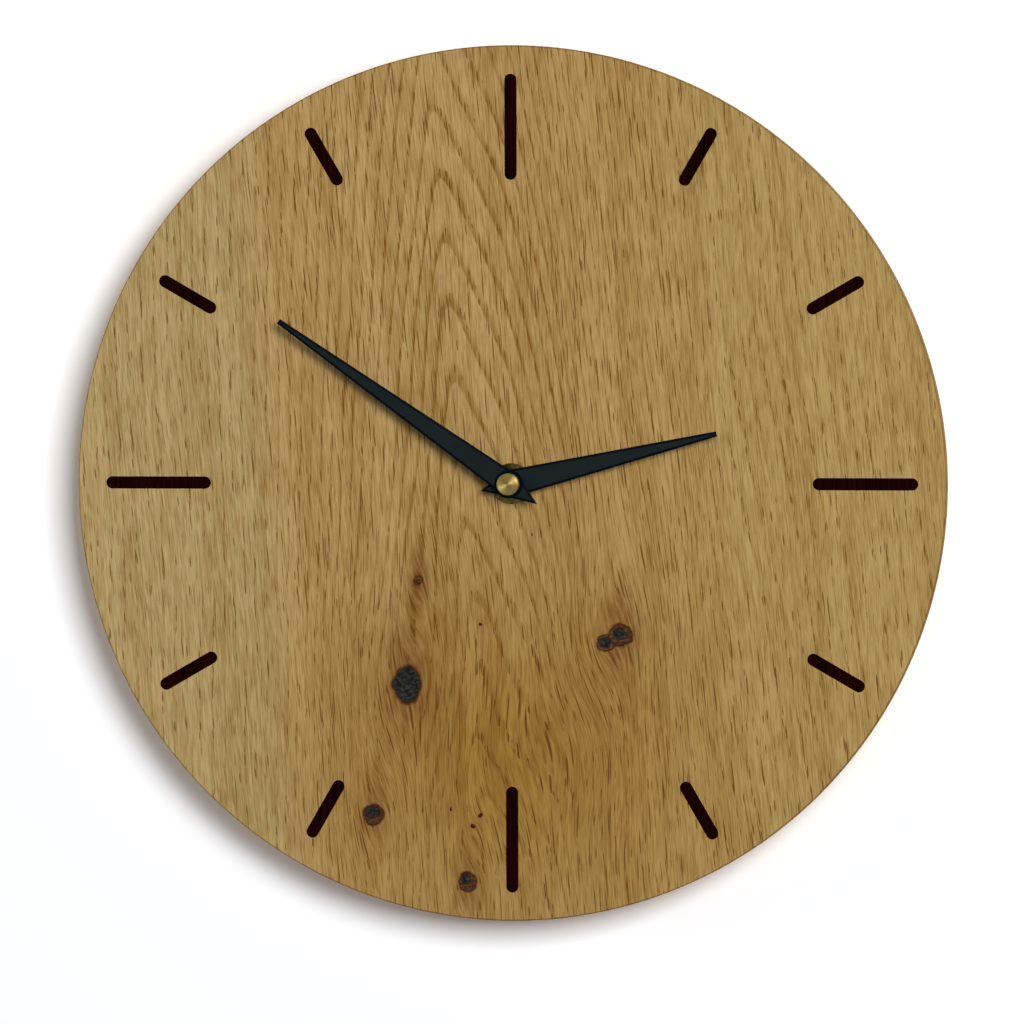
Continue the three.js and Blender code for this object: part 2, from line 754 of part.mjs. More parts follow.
function frontCase() {
  const shell = extruded(caseOutline(0), 0, caseDepth);
  const hollow = extruded(caseOutline(sideWall), -overshoot, frontInside);
  const partition = block([-insideHalf, bayTop, 0], [insideHalf, partitionTop, frontInside]);
  const coverSeat = overChamber(bayTop, -overshoot, coverThickness + seatGap);
  const bushingHole = rod(bushingHoleRadius, frontInside - overshoot, caseDepth + overshoot);
  const stud = rod(arborRadius, minuteWheelBottom - pressGap, frontInside, pinFacets);
  const additions = joined([
    partition,
    stud.translate([...minuteWheelAxis, 0]),
    boss(thirdAxis, centreWheelTop + pinionOverhang + runningGap, arborRadius),
    boss(intermediateAxis, centreWheelTop + runningGap, arborRadius),
    boss(rotorAxis, magnetTop + runningGap, arborRadius),
    boss(settingAxis, settingPinionTop + runningGap, knobShaftRadius),
    ...cellLips(),
    ...bridgePosts.map((place) => post(place, bridgeTop, bridgeBottom - pinProud)),
    ...statorPosts.map((place) => post(place, statorTop, coreBottom - pinProud)),
    ...boardPosts.map((place) => post(place, boardFront, boardBack - pinProud)),
  ]);
  const notches = [-1, 1].map((side) => {
    const inner = side * (contactX - 2 * seatGap);
    const outer = side * insideHalf;
    const back = contactBack - seatGap;
    const front = contactBack + contactWidth + seatGap;
    return block(
      [Math.min(inner, outer), bayTop - overshoot, back],
      [Math.max(inner, outer), partitionTop + overshoot, front],
    );
  });
  const body = shell.subtract(hollow).add(additions).subtract(coverSeat);
  return piece("front_case", body.subtract(bushingHole).subtract(joined(notches)), blackPlastic);
}

// The cover closes the wheel chamber and leaves the cell's bay open. The knob sits in a well in it.
function rearCover() {
  const plate = extruded(caseOutline(0), 0, coverThickness);
  const closed = overChamber(bayTop + seatGap, -overshoot, caseDepth);
  const cup = rod(wellOutside, 0, wellDepth + wellFloor, discFacets);
  const well = rod(wellRadius, -overshoot, wellDepth, discFacets);
  const shaftHole = rod(wellBoreRadius, 0, caseDepth);
  const cuts = well.add(shaftHole).translate([...settingAxis, 0]);
  const body = plate.intersect(closed).add(cup.translate([...settingAxis, 0])).subtract(cuts);
  return piece("rear_cover", body, blackPlastic);
}

// Knob, shaft and pinion in one moulding. The knob has a ribbed edge for the fingertip.
function settingKnob() {
  const pitch = (2 * Math.PI) / knobRibs;
  const grooveRadius = knobRadius - knobRibDepth;
  const ribProfile = [
    [0, grooveRadius],
    [0.2, knobRadius],
    [0.6, knobRadius],
    [0.8, grooveRadius],
  ];
  const points = [];
  for (let rib = 0; rib < knobRibs; rib++) {
    for (const [share, radius] of ribProfile) {
      points.push(new THREE.Vector2(...stepped([0, 0], radius, (rib + share) * pitch)));
    }
  }
  const knob = extruded(new THREE.Shape(points), knobSunk, knobSunk + knobThickness);
  const shaft = rod(knobShaftRadius, knobSunk, pivotFront);
  const pinion = gear(settingPinionGear, settingPinionBottom, settingPinionTop);
  return piece("setting_knob", joined([knob, shaft, pinion]), blackPlastic);
}

// Wheels

// A wheel with its pinion on one arbor.
function trainWheel({ wheel, wheelBottom, wheelTop, pinion, pinionBottom, pinionTop }) {
  return joined([
    gear(wheel, wheelBottom, wheelTop),
    gear(pinion, pinionBottom, pinionTop),
    rod(arborRadius, pivotBack, pivotFront, pinFacets),
  ]);
}

// The centre wheel, the cannon pinion and the arbor that carries the minute hand, bored at the back
// for the front end of the seconds wheel's arbor.
function centreWheel() {
  const back = centreWheelBottom - runningGap;
  const arbor = turned(
    [
      [0, back],
      [minuteArborRadius, back],
      [minuteArborRadius, minuteHandBack],
      [handStudRadius, minuteHandBack],
      [handStudRadius, handStudFront],
      [0, handStudFront],
    ],
    roundFacets,
  );
  const body = joined([
    gear(trainPair.wheel, centreWheelBottom, centreWheelTop),
    gear(motionPair.pinion, centreWheelTop, cannonTop),
    arbor,
  ]);
  const boreEnd = centreWheelTop + pinionOverhang + runningGap;
  const bore = rod(arborBoreRadius, back - overshoot, boreEnd, pinFacets);
  return piece("centre_wheel", body.subtract(bore), whitePlastic);
}

// Turns between the case's stud and the cannon pinion, and reverses the motion twelve to one.
function minuteWheel() {
  const body = joined([
    gear(motionPair.wheel, minuteWheelBottom, minuteWheelTop),
    gear(hourPair.pinion, minuteWheelTop, pivotFront),
  ]);
  const bore = rod(arborBoreRadius, minuteWheelBottom - overshoot, frontInside, pinFacets);
  return piece("minute_wheel", body.subtract(bore), whitePlastic);
}

// The hour wheel and the pipe that carries the hour hand on a stepped seat.
function hourWheel() {
  const pipe = turned(
    [
      [0, hourWheelBottom],
      [hourPipeRadius, hourWheelBottom],
      [hourPipeRadius, hourHandBack],
      [hourSeatRadius, hourHandBack],
      [hourSeatRadius, hourHandFront],
      [0, hourHandFront],
    ],
    roundFacets,
  );
  const bore = rod(hourPipeBore, hourWheelBottom - overshoot, hourHandFront + overshoot);
  const body = gear(hourPair.wheel, hourWheelBottom, hourWheelTop).add(pipe).subtract(bore);
  return piece("hour_wheel", body, whitePlastic);
}

function thirdWheel() {
  const body = trainWheel({
    wheel: secondsPair.wheel,
    wheelBottom: thirdWheelBottom,
    wheelTop: thirdWheelTop,
    pinion: trainPair.pinion,
    pinionBottom: thirdWheelTop,
    pinionTop: centreWheelTop + pinionOverhang,
  });
  return piece("third_wheel", body, whitePlastic);
}

// Turns behind the hands once a minute. Its front end runs inside the minute arbor.
function secondsWheel() {
  const body = joined([
    gear(stepPair.wheel, secondsWheelBottom, secondsWheelTop),
    gear(secondsPair.pinion, secondsWheelTop, thirdWheelTop + pinionOverhang),
    rod(arborRadius, pivotBack, centreWheelTop + pinionOverhang, pinFacets),
  ]);
  return piece("seconds_wheel", body, whitePlastic);
}

function intermediateWheel() {
  const body = trainWheel({
    wheel: rotorPair.wheel,
    wheelBottom: intermediateWheelBottom,
    wheelTop: intermediateWheelTop,
    pinion: stepPair.pinion,
    pinionBottom: intermediateWheelTop,
    pinionTop: secondsWheelTop + pinionOverhang,
  });
  return piece("intermediate_wheel", body, whitePlastic);
}

// The magnet with its pinion, which steps half a turn each second.
function rotor() {
  const body = joined([
    gear(rotorPair.pinion, rotorPinionBottom, magnetBottom),
    rod(magnetDiameter / 2, magnetBottom, magnetTop),
    rod(arborRadius, pivotBack, pivotFront, pinFacets),
  ]);
  return piece("rotor", body, magnetGrey);
}

// Stepping motor

// One sheet with the rotor's hole in its bar and a leg up to each end of the core.
function stator() {
  const [x, y] = rotorAxis;
  const legTop = coilY + statorLegWidth / 2;
  const sheet = joined([
    block(
      [x - legOutside, y - statorHalfBar, statorBottom],
      [x + legOutside, y + statorHalfBar, statorTop],
    ),
    block([x - legOutside, y, statorBottom], [x - legInside, legTop, statorTop]),
    block([x + legInside, y, statorBottom], [x + legOutside, legTop, statorTop]),
  ]);
  const rotorHole = throughHole(rotorAxis, statorHoleRadius, statorBottom, statorTop, roundFacets);
  const pinHoles = statorPosts.map((place) => throughHole(place, pinHoleRadius, statorBottom, statorTop));
  const cuts = joined([rotorHole, ...pinHoles]);
  return piece("stator_plate", sheet.subtract(cuts), steel);
}

// The iron strip through the coil, which lies on the stator's legs.
function coilCore() {
  const halfWidth = statorLegWidth / 2;
  const strip = block(
    [rotorAxis[0] - legOutside, coilY - halfWidth, coreBottom],
    [rotorAxis[0] + legOutside, coilY + halfWidth, statorBottom],
  );
  const pinHoles = statorPosts.map((place) => throughHole(place, pinHoleRadius, coreBottom, statorBottom));
  return piece("coil_core", strip.subtract(joined(pinHoles)), steel);
}

// Lays a piece that was turned about z along x, at the coil's place.
function onCoil(body) {
  return body.rotate([0, 90, 0]).translate([rotorAxis[0], coilY, coilHeight]);
}

function coilBobbin() {
  const flange = bobbinFlangeDiameter / 2;
  const halfWinding = coilLength / 2;
  const barrel = bobbinBarrelRadius;
  const body = turned(
    [
      [0, -coilHalf],
      [flange, -coilHalf],
      [flange, -halfWinding],
      [barrel, -halfWinding],
      [barrel, halfWinding],
      [flange, halfWinding],
      [flange, coilHalf],
      [0, coilHalf],
    ],
    roundFacets,
  );
  const halfSlotWidth = statorLegWidth / 2 + pressGap;
  const halfSlotHeight = statorThickness / 2 + pressGap;
  const slot = block(
    [-halfSlotHeight, -halfSlotWidth, -coilLength],
    [halfSlotHeight, halfSlotWidth, coilLength],
  );
  return piece("coil_bobbin", onCoil(body.subtract(slot)), whitePlastic);
}

function coilWinding() {
  const half = coilLength / 2 - pressGap;
  const body = tube(coilDiameter / 2, bobbinBarrelRadius + pressGap, -half, half);
  return piece("coil_winding", onCoil(body), copper);
}

// Bridge, electronics and cell

// The plate behind the train, in which the rear ends of the arbors turn.
function trainBridge() {
  const [rightPostX, rightPostY] = bridgePosts[2];
  const right = rightPostX + bridgeReach;
  const wing = rightPostY - bridgeReach;
  const step = settingAxis[0] - wellOutside - bridgeWellGap;
  const outline = new THREE.Shape();
  outline.moveTo(bridgeLeft, bridgeLow);
  outline.lineTo(step, bridgeLow);
  outline.lineTo(step, wing);
  outline.lineTo(right, wing);
  outline.lineTo(right, bridgeHigh);
  outline.lineTo(bridgeLeft, bridgeHigh);
  const plate = extruded(outline, bridgeBottom, bridgeTop);
  const hole = (radius) => (place) => throughHole(place, radius, bridgeBottom, bridgeTop);
  const arbors = [handsAxis, thirdAxis, intermediateAxis, rotorAxis].map(hole(arborBoreRadius));
  const pins = bridgePosts.map(hole(pinHoleRadius));
  return piece("train_bridge", plate.subtract(joined([...arbors, ...pins])), whitePlastic);
}

function board() {
  const plate = block([boardLeft, boardLow, boardBack], [boardLeft + boardWidth, boardTop, boardFront]);
  const holes = boardPosts.map((place) => throughHole(place, pinHoleRadius, boardBack, boardFront));
  return piece("circuit_board", plate.subtract(joined(holes)), circuitBoard);
}

// The clock chip's blob of black resin, a low dome on the board.
function chipBlob() {
  const radius = chipDiameter / 2;
  const profile = [[0, boardBack - chipHeight]];
  for (let step = 1; step <= domeSteps; step++) {
    const angle = ((Math.PI / 2) * step) / domeSteps;
    profile.push([radius * Math.sin(angle), boardBack - chipHeight * Math.cos(angle)]);
  }
  const body = turned([...profile, [0, boardBack]], roundFacets);
  return piece("clock_chip", body.translate([boardMiddle, chipY, 0]), blackPlastic);
}

function crystal() {
  const radius = crystalDiameter / 2;
  const can = rod(radius, 0, crystalLength, pinFacets).rotate([-90, 0, 0]);
  const place = [boardMiddle, crystalLow, boardBack - radius - pressGap];
  return piece("quartz_crystal", can.translate(place), steel);
}

function contact(name, path) {
  const sheet = bentSheet(path, contactThickness);
  return piece(name, extruded(sheet, contactBack, contactBack + contactWidth), steel);
}

// A bowed strip that presses on the flat end of the cell and reaches the board along the side wall.
function negativeContact() {
  return contact("negative_contact", [
    [-contactTouchX - contactThickness, cellY - contactDrop],
    [-contactTouchX, cellY],
    [-contactX, bayTop - 2 * seatGap],
    [-contactX, boardLow + contactTab],
  ]);
}

// The other strip, which runs along the partition to the board.
function positiveContact() {
  return contact("positive_contact", [
    [boardMiddle, contactY],
    [contactX, contactY],
    [contactX, bayTop - 2 * seatGap],
    [contactTouchX, cellY],
    [contactTouchX + contactThickness, cellY - contactDrop],
  ]);
}

function batteryCell() {
  const radius = cellDiameter / 2;
  const nub = cellNubDiameter / 2;
  const shoulder = cellLength - cellNubLength;
  const body = turned(
    [
      [0, 0],
      [radius - cellEdgeRadius, 0],
      [radius, cellEdgeRadius],
      [radius, shoulder - cellEdgeRadius],
      [radius - cellEdgeRadius, shoulder],
      [nub, shoulder],
      [nub, cellLength],
      [0, cellLength],
    ],
    discFacets,
  );
  const lying = body.rotate([0, 90, 0]).translate([-cellLength / 2, cellY, cellHeight]);
  return piece("battery_cell", lying, cellSleeve);
}

// Assembly

const clock = new THREE.Group();
clock.rotation.x = Math.PI / 2;
clock.add(
  dialPlate(),
  dialWasher(),
  dialNut(),
  threadedBushing(),
  gasket(),
  hanger(),
  frontCase(),
  rearCover(),
  trainBridge(),
  stator(),
  coilCore(),
  coilBobbin(),
  coilWinding(),
  board(),
  chipBlob(),
  crystal(),
  negativeContact(),
  positiveContact(),
  batteryCell(),
  onAxis(handsAxis, [minuteHand(), capNut()], -THREE.MathUtils.degToRad(minuteHandAngle)),
  onAxis(handsAxis, [hourHand()], -THREE.MathUtils.degToRad(hourHandAngle)),
  onAxis(handsAxis, [centreWheel()], centreTurn),
  onAxis(handsAxis, [hourWheel()], hourWheelTurn),
  onAxis(handsAxis, [secondsWheel()], secondsTurn),
  onAxis(minuteWheelAxis, [minuteWheel()], minuteWheelTurn),
  onAxis(settingAxis, [settingKnob()], settingTurn),
  onAxis(thirdAxis, [thirdWheel()], thirdTurn),
  onAxis(intermediateAxis, [intermediateWheel()], intermediateTurn),
  onAxis(rotorAxis, [rotor()], rotorTurn),
);

export default clock;
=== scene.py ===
"""A round oak wall clock with a battery movement, dressed and lit for the camera.

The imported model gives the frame: x runs to the right, z up towards twelve, and the dial faces -Y.
Heights are given in millimetres above the wall, so a height h lies at y = -h.
"""

import json
import logging
import math
from collections.abc import Callable, Iterator
from contextlib import contextmanager
from dataclasses import dataclass
from enum import Enum

import bmesh
import bpy
from bpy.types import Material, Node, NodeSocket, Object, World
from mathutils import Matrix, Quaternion, Vector


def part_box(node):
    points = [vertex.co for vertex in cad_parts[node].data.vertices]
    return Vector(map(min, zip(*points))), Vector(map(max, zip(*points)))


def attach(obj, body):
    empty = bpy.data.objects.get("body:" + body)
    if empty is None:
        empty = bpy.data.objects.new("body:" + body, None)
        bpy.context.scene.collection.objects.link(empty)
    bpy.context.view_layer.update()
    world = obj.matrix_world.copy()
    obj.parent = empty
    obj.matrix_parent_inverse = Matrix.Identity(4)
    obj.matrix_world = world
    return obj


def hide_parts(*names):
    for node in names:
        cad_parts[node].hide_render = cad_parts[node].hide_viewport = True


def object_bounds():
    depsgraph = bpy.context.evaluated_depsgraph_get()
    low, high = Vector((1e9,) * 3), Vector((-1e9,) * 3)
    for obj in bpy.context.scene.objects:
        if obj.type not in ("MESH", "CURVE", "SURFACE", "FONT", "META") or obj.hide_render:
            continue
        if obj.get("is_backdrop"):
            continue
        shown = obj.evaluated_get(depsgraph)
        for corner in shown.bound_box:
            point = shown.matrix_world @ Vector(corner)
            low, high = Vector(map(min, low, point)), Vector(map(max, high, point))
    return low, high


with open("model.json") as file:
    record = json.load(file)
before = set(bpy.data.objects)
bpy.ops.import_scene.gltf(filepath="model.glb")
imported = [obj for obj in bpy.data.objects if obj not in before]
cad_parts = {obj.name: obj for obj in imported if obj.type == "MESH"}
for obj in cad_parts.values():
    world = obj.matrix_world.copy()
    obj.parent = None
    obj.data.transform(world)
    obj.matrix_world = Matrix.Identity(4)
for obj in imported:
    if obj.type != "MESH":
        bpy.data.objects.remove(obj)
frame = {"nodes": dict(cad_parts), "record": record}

CAD_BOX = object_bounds()
MM = 0.001
FRONTWARDS = Vector((0, -1, 0))
NEAR = 0.01  # mm, within which a place counts as on a face
FAR = 9.0  # past the reach of any knot

log = logging.getLogger("clock")


class Body(Enum):
    """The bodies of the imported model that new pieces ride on."""

    CLOCK = "clock_body"
    MINUTE = "minute_arbor"
    HOUR = "hour_pipe"
    SETTER = "hand_setter"


class Slot(Enum):
    """The record's material slots."""

    OAK = "dial_oak"
    HAND = "hand_black"
    BRIGHT_BRASS = "brass_bright"
    DULL_BRASS = "brass_dull"
    HANGER = "hanger_steel"
    GASKET = "gasket_rubber"
    CASE = "case_black"
    GEAR = "gear_white"
    MOTOR = "motor_steel"
    CONTACT = "contact_steel"
    MAGNET = "magnet_grey"
    COIL = "coil_copper"
    BOARD = "board_brown"
    CHIP = "chip_resin"
    CELL = "cell_sleeve"


class Part(Enum):
    """The parts of a mesh that are picked in edit mode."""

    POINT = "VERT"
    EDGE = "EDGE"
    FACE = "FACE"


class Cut(Enum):
    """What becomes of a piece and its cutter: their difference, their overlap or both in one."""

    AWAY = "DIFFERENCE"
    SHARED = "INTERSECT"
    JOINED = "UNION"


# Colour and nodes


def linear(code: str) -> tuple[float, float, float, float]:
    """Turns an sRGB hex colour to linear light.

    Args:
        code: The colour as "#rrggbb".

    Returns:
        Red, green, blue and an alpha of 1.
    """
    parts = [int(code[i : i + 2], 16) / 255 for i in (1, 3, 5)]
    red, green, blue = [
        part / 12.92 if part <= 0.04045 else ((part + 0.055) / 1.055) ** 2.4 for part in parts
    ]
    return red, green, blue, 1.0


class Layout:
    """The nodes of a material or of the world while they are laid out."""

    def __init__(self, owner: Material | World) -> None:
        """Starts with no nodes.

        Args:
            owner: What the nodes are laid out for.
        """
        owner.use_nodes = True
        self.tree = owner.node_tree
        self.tree.nodes.clear()

    def plug(self, socket: NodeSocket, link: object) -> None:
        """Feeds an input.

        Args:
            socket: The input.
            link: A node, of which the first output is taken, a socket, a hex colour or a value.
        """
        if isinstance(link, Node):
            link = link.outputs[0]
        if isinstance(link, NodeSocket):
            self.tree.links.new(link, socket)
        else:
            socket.default_value = linear(link) if isinstance(link, str) else link

    def add(self, kind: str, *links: object, stops: tuple = (), **settings: object) -> Node:
        """Adds a node.

        Args:
            kind: The node's type, without the ShaderNode before it.
            links: What feeds its inputs, in their order, as plug takes it, or None.
            stops: Places and colours of a ramp, where the node is one.
            settings: The node's own settings.

        Returns:
            The new node.
        """
        node = self.tree.nodes.new("ShaderNode" + kind)
        for name, value in settings.items():
            setattr(node, name, value)
        for socket, link in zip(node.inputs, links):
            if link is not None:
                self.plug(socket, link)
        if stops:
            ramp = node.color_ramp.elements
            while len(ramp) < len(stops):
                ramp.new(1)
            for element, (place, colour) in zip(ramp, stops):
                element.position = place
                element.color = colour
        return node


class Recipe(Layout):
    """One procedural material."""

    def __init__(self, name: str) -> None:
        """Starts an empty material whose coordinates are in millimetres.

        Args:
            name: The material's name.
        """
        self.material = bpy.data.materials.new(name)
        super().__init__(self.material)
        place = self.add("TexCoord").outputs["Object"]
        scale = (1 / MM, 1 / MM, 1 / MM)
        self.place = self.add("VectorMath", place, scale, operation="MULTIPLY")

    def drawn(self, place: Node, width: float, length: float, detail: float = 3) -> Node:
        """Gives noise whose specks are drawn out upwards, as fibres or rolled lines.

        Args:
            place: The place in the material.
            width: How wide the specks are, in mm.
            length: How long they are, in mm.
            detail: How many finer layers it has.

        Returns:
            The noise, around 0.5.
        """
        size = (1 / width, 1 / width, 1 / length)
        cells = self.add("VectorMath", place, size, operation="MULTIPLY")
        return self.add("TexNoise", cells, None, 1, detail, 0.6)

    def finish(self, values: dict[str, object]) -> None:
        """Closes the material with its shader.

        Args:
            values: What feeds the shader's inputs, by their names.
        """
        shader = self.add("BsdfPrincipled")
        for name, value in values.items():
            self.plug(shader.inputs[name], value)
        self.add("OutputMaterial", shader)


def grey(value: float) -> tuple[float, float, float, float]:
    """Gives a ramp's colour for a plain number."""
    return value, value, value, 1.0


# Finishes


class Finish:
    """A surface finish, made once as a material."""

    def material(self) -> Material:
        """Gives the material, which is made on the first call."""
        name = type(self).__name__
        if name not in bpy.data.materials:
            self.mix(Recipe(name))
        return bpy.data.materials[name]

    def mix(self, recipe: Recipe) -> None:
        """Lays out the material's nodes.

        Args:
            recipe: The material.
        """
        raise NotImplementedError


class Core(Enum):
    """What the middle of a knot is made of: its darkest and its palest tone."""

    SOUND = ("#37200f", "#6c4927")
    PIN = ("#3a0a07", "#6b1a10")
    FILLED = ("#080a0a", "#403e38")


@dataclass(frozen=True)
class Oval:
    """An oval place on the board: its middle, half width and half height in mm."""

    x: float
    z: float
    half_width: float
    half_height: float


@dataclass(frozen=True)
class Knot:
    """A knot in the board, with the oval in which the grain steps aside for it and is stained.

    The grain steps aside by push, a share of the oval's half width.
    """

    body: Oval
    flow: tuple[float, float]
    core: Core = Core.SOUND
    push: float = 0.6
    stain: float = 0.9

    def around(self) -> Oval:
        """Gives the oval of the bent grain."""
        return Oval(self.body.x, self.body.z, *self.flow)


KNOTS = (
    Knot(Oval(-36.3, -69.2, 4.7, 6.1), (15, 34), Core.FILLED, push=0.75, stain=1.0),
    Knot(Oval(37.6, -51.9, 3.9, 3.7), (13, 26)),
    Knot(Oval(32.4, -54.6, 3.0, 2.8), (9, 22), push=0.3, stain=0.6),
    Knot(Oval(-47.9, -113.7, 3.5, 3.6), (9, 20)),
    Knot(Oval(-15.4, -136.8, 2.9, 3.2), (9, 20), stain=0.8),
    Knot(Oval(-32.3, -33.4, 1.5, 1.7), (6, 22)),
    Knot(Oval(-10.8, -113.8, 0.7, 0.7), (3, 8), Core.PIN, push=0.4, stain=0.3),
    Knot(Oval(-13.4, -117.4, 0.9, 0.8), (3, 8), Core.PIN, push=0.4, stain=0.3),
    Knot(Oval(-21.3, -111.8, 0.4, 0.8), (3, 9), Core.PIN, push=0.4, stain=0.5),
    Knot(Oval(-10.9, -48.2, 0.5, 0.7), (3, 12), Core.PIN, push=0.4, stain=0.5),
    Knot(Oval(7.0, -17.2, 0.3, 0.7), (3, 12), Core.PIN, push=0.3, stain=0.4),
)
SWIRL = Knot(Oval(11.2, -91.5, 0.01, 0.01), (22, 26), stain=0.15)  # its knot is below the face
FILLINGS = (  # black filler in the middle of brown knots
    Oval(37.5, -51.6, 2.2, 2.0),
    Oval(32.3, -54.6, 1.8, 1.6),
    Oval(-48.2, -112.7, 2.6, 2.1),
    Oval(-16.0, -135.8, 1.4, 1.7),
)


@dataclass(frozen=True)
class Pores:
    """One kind of open pore in the wood. They are cut lengthwise and look like dashes.

    They lie so many mm apart across and along the grain, size is a pore's half width and half
    length as a share of that, and strength is how strongly it shows.
    """

    across: float
    along: float
    size: float
    strength: float


@dataclass(frozen=True)
class OiledOak(Finish):
    """Plain-sawn European oak, sanded and oiled: open pores, cathedral arches and dark knots.

    Oak is ring-porous, so the eye sees bands of short dark dashes between smooth pale wood. The
    rings are cut from a slightly tapered log, which gives the arches their pointed tops.
    """

    pale: str = "#b59c69"  # summer wood
    dark: str = "#7d5a14"  # spring wood
    pore: str = "#62440b"
    red_pore: str = "#6c3d0e"
    warm: str = "#fbeedd"  # the middle of the board is redder, multiplied in
    yellow: str = "#f8f2e0"  # the right side is a little darker and yellower, multiplied in
    heart: str = "#decd98"  # the lower middle is darker and yellower, multiplied in
    stain: str = "#6a3c18"  # tannin round the knots
    bark: str = "#2b1006"  # a dark line round a knot
    rim_darkening: str = "#cabb9f"  # the sawn rim and the edge's rounding, darker all round, multiplied in
    radius: float = 150.0
    grain_turn: float = 5.0  # degrees, how far the grain is off upright
    wave: float = 8.0  # how far the grain wanders from side to side
    ring_width: float = 7.0
    ring_waver: float = 1.8  # in rings, how far growth moves them
    arch_x: float = -17.0
    arch_round: float = 12.0
    left_slope: float = 1.5  # depth in the log gained per mm, which sets how close the rings lie
    right_slope: float = 0.75
    crowding: tuple = ((33.0, 1.85), (82.0, -1.2))  # mm right of the arches, and slope gained there
    crowding_round: float = 20.0
    lean: tuple[float, float] = (0.3, 0.1)  # the log's taper, near the arches and far from them
    lean_reach: tuple[float, float] = (20.0, 90.0)
    arches: Oval = Oval(-13.75, 60, 55, 120)  # where the rings stand out most
    lower_middle: Oval = Oval(0, -95, 66, 60)
    flat_sawn: tuple[float, float] = (64.0, 84.0)  # where the board's middle fades out
    flat_sawn_x: float = -6.0
    right_side: tuple[float, float] = (20.0, 90.0)  # where the yellow sets in and is full
    tone: float = 0.26  # where plain wood lies between pale and dark
    ring_contrast: float = 0.12
    arch_contrast: float = 0.36  # gained in the arches
    raggedness: float = 2.2  # how uneven the knots' outlines are
    long_pores: Pores = Pores(0.75, 20, 0.33, 0.85)
    short_pores: Pores = Pores(0.8, 7, 0.32, 0.8)
    fine_lines: Pores = Pores(0.5, 9, 0.38, 0.42)

    def pores(
        self, recipe: Recipe, grain: Node, kind: Pores, likely: Node | float
    ) -> tuple[Node, NodeSocket]:
        """Scatters the pores of one kind.

        Args:
            recipe: The material.
            grain: The place in the wood.
            kind: The pores.
            likely: The share of the places that have one.

        Returns:
            1 in a pore and 0 between, and a number by which pores differ.
        """
        add = recipe.add
        scale = (1 / kind.across, 1 / kind.across, 1 / kind.along)
        cells = add("VectorMath", grain, scale, operation="MULTIPLY")
        cell = add("TexVoronoi", cells, None, 1)
        chance = add("SeparateColor", cell.outputs["Color"])
        present = add("Math", chance.outputs["Red"], likely, operation="LESS_THAN")
        mark = add("MapRange", cell.outputs["Distance"], kind.size, kind.size * 0.75, 0, 1)
        mark = add("Math", mark, present, operation="MULTIPLY")
        return mark, chance.outputs["Green"]

    def reach(self, recipe: Recipe, place: Node, oval: Oval) -> Node:
        """Measures from the middle of an oval.

        Args:
            recipe: The material.
            place: The place in the wood.
            oval: The oval.

        Returns:
            The way from its middle, whose length is 1 on its outline.
        """
        across, along = oval.half_width, oval.half_height
        scale = (1 / across, 0, 1 / along)
        shift = (-oval.x / across, 0, -oval.z / along)
        return recipe.add("VectorMath", place, scale, shift, operation="MULTIPLY_ADD")

    def bell(self, recipe: Recipe, vector: Node) -> Node:
        """Gives 1 where a vector is zero, falling off to 0 past the length of 2."""
        square = recipe.add("VectorMath", vector, vector, operation="DOT_PRODUCT")
        return recipe.add("Math", 1 / math.e, square.outputs["Value"], operation="POWER")

    def rings(self, recipe: Recipe, grain: Node, growth: NodeSocket) -> Node:
        """Cuts the year rings of the tapered log.

        Args:
            recipe: The material.
            grain: The place in the wood.
            growth: Noise around 0 that moves the rings.

        Returns:
            1 in the spring wood of each year and 0 in its summer wood.
        """
        add = recipe.add
        split = add("SeparateXYZ", grain)
        aside = add("Math", split.outputs["X"], self.arch_x, operation="SUBTRACT")
        left = add("Math", aside, -self.left_slope, operation="MULTIPLY")
        right = add("Math", aside, self.right_slope, operation="MULTIPLY")
        depth = add("Math", left, right, self.arch_round, operation="SMOOTH_MAX")
        for start, slope in self.crowding:
            past = add("Math", aside, start, operation="SUBTRACT")
            past = add("Math", past, 0, self.crowding_round, operation="SMOOTH_MAX")
            depth = add("Math", past, slope, depth, operation="MULTIPLY_ADD")
        depth = add("Math", depth, split.outputs["Y"], operation="ADD")
        off = add("Math", aside, operation="ABSOLUTE")
        lean = add("MapRange", off, *self.lean_reach, *self.lean)
        below = add("Math", split.outputs["Z"], self.radius, operation="SUBTRACT")
        depth = add("Math", lean, below, depth, operation="MULTIPLY_ADD")
        # Forty rings more keep the count above zero
        ring = add("Math", depth, 1 / self.ring_width, 40, operation="MULTIPLY_ADD")
        ring = add("Math", growth, self.ring_waver, ring, operation="MULTIPLY_ADD")
        ring = add("Math", ring, operation="FRACT")
        # Spring wood starts sharply at the ring's start and fades into the summer wood
        stops = ((0.0, 0.0), (0.05, 0.9), (0.12, 1), (0.2, 0.7), (0.34, 0.1), (1.0, 0.0))
        return add("ValToRGB", ring, stops=tuple((at, grey(tone)) for at, tone in stops))

    def mix(self, recipe: Recipe) -> None:
        """Lays out the board's wood.

        Args:
            recipe: The material.
        """
        add = recipe.add
        place = recipe.place
        even = (0.5, 0.5, 0.5)  # the mean of a noise

        # The grain is a little off upright and wanders slowly from side to side
        waves = recipe.drawn(place, 55, 150, 1.5).outputs["Color"]
        wave = add("VectorMath", waves, even, operation="SUBTRACT")
        turned = add("Mapping", place, None, (0, math.radians(self.grain_turn), 0))
        grain = add("VectorMath", wave, (self.wave, 0, 0), turned, operation="MULTIPLY_ADD")
        growth = add("SeparateXYZ", wave).outputs["Y"]

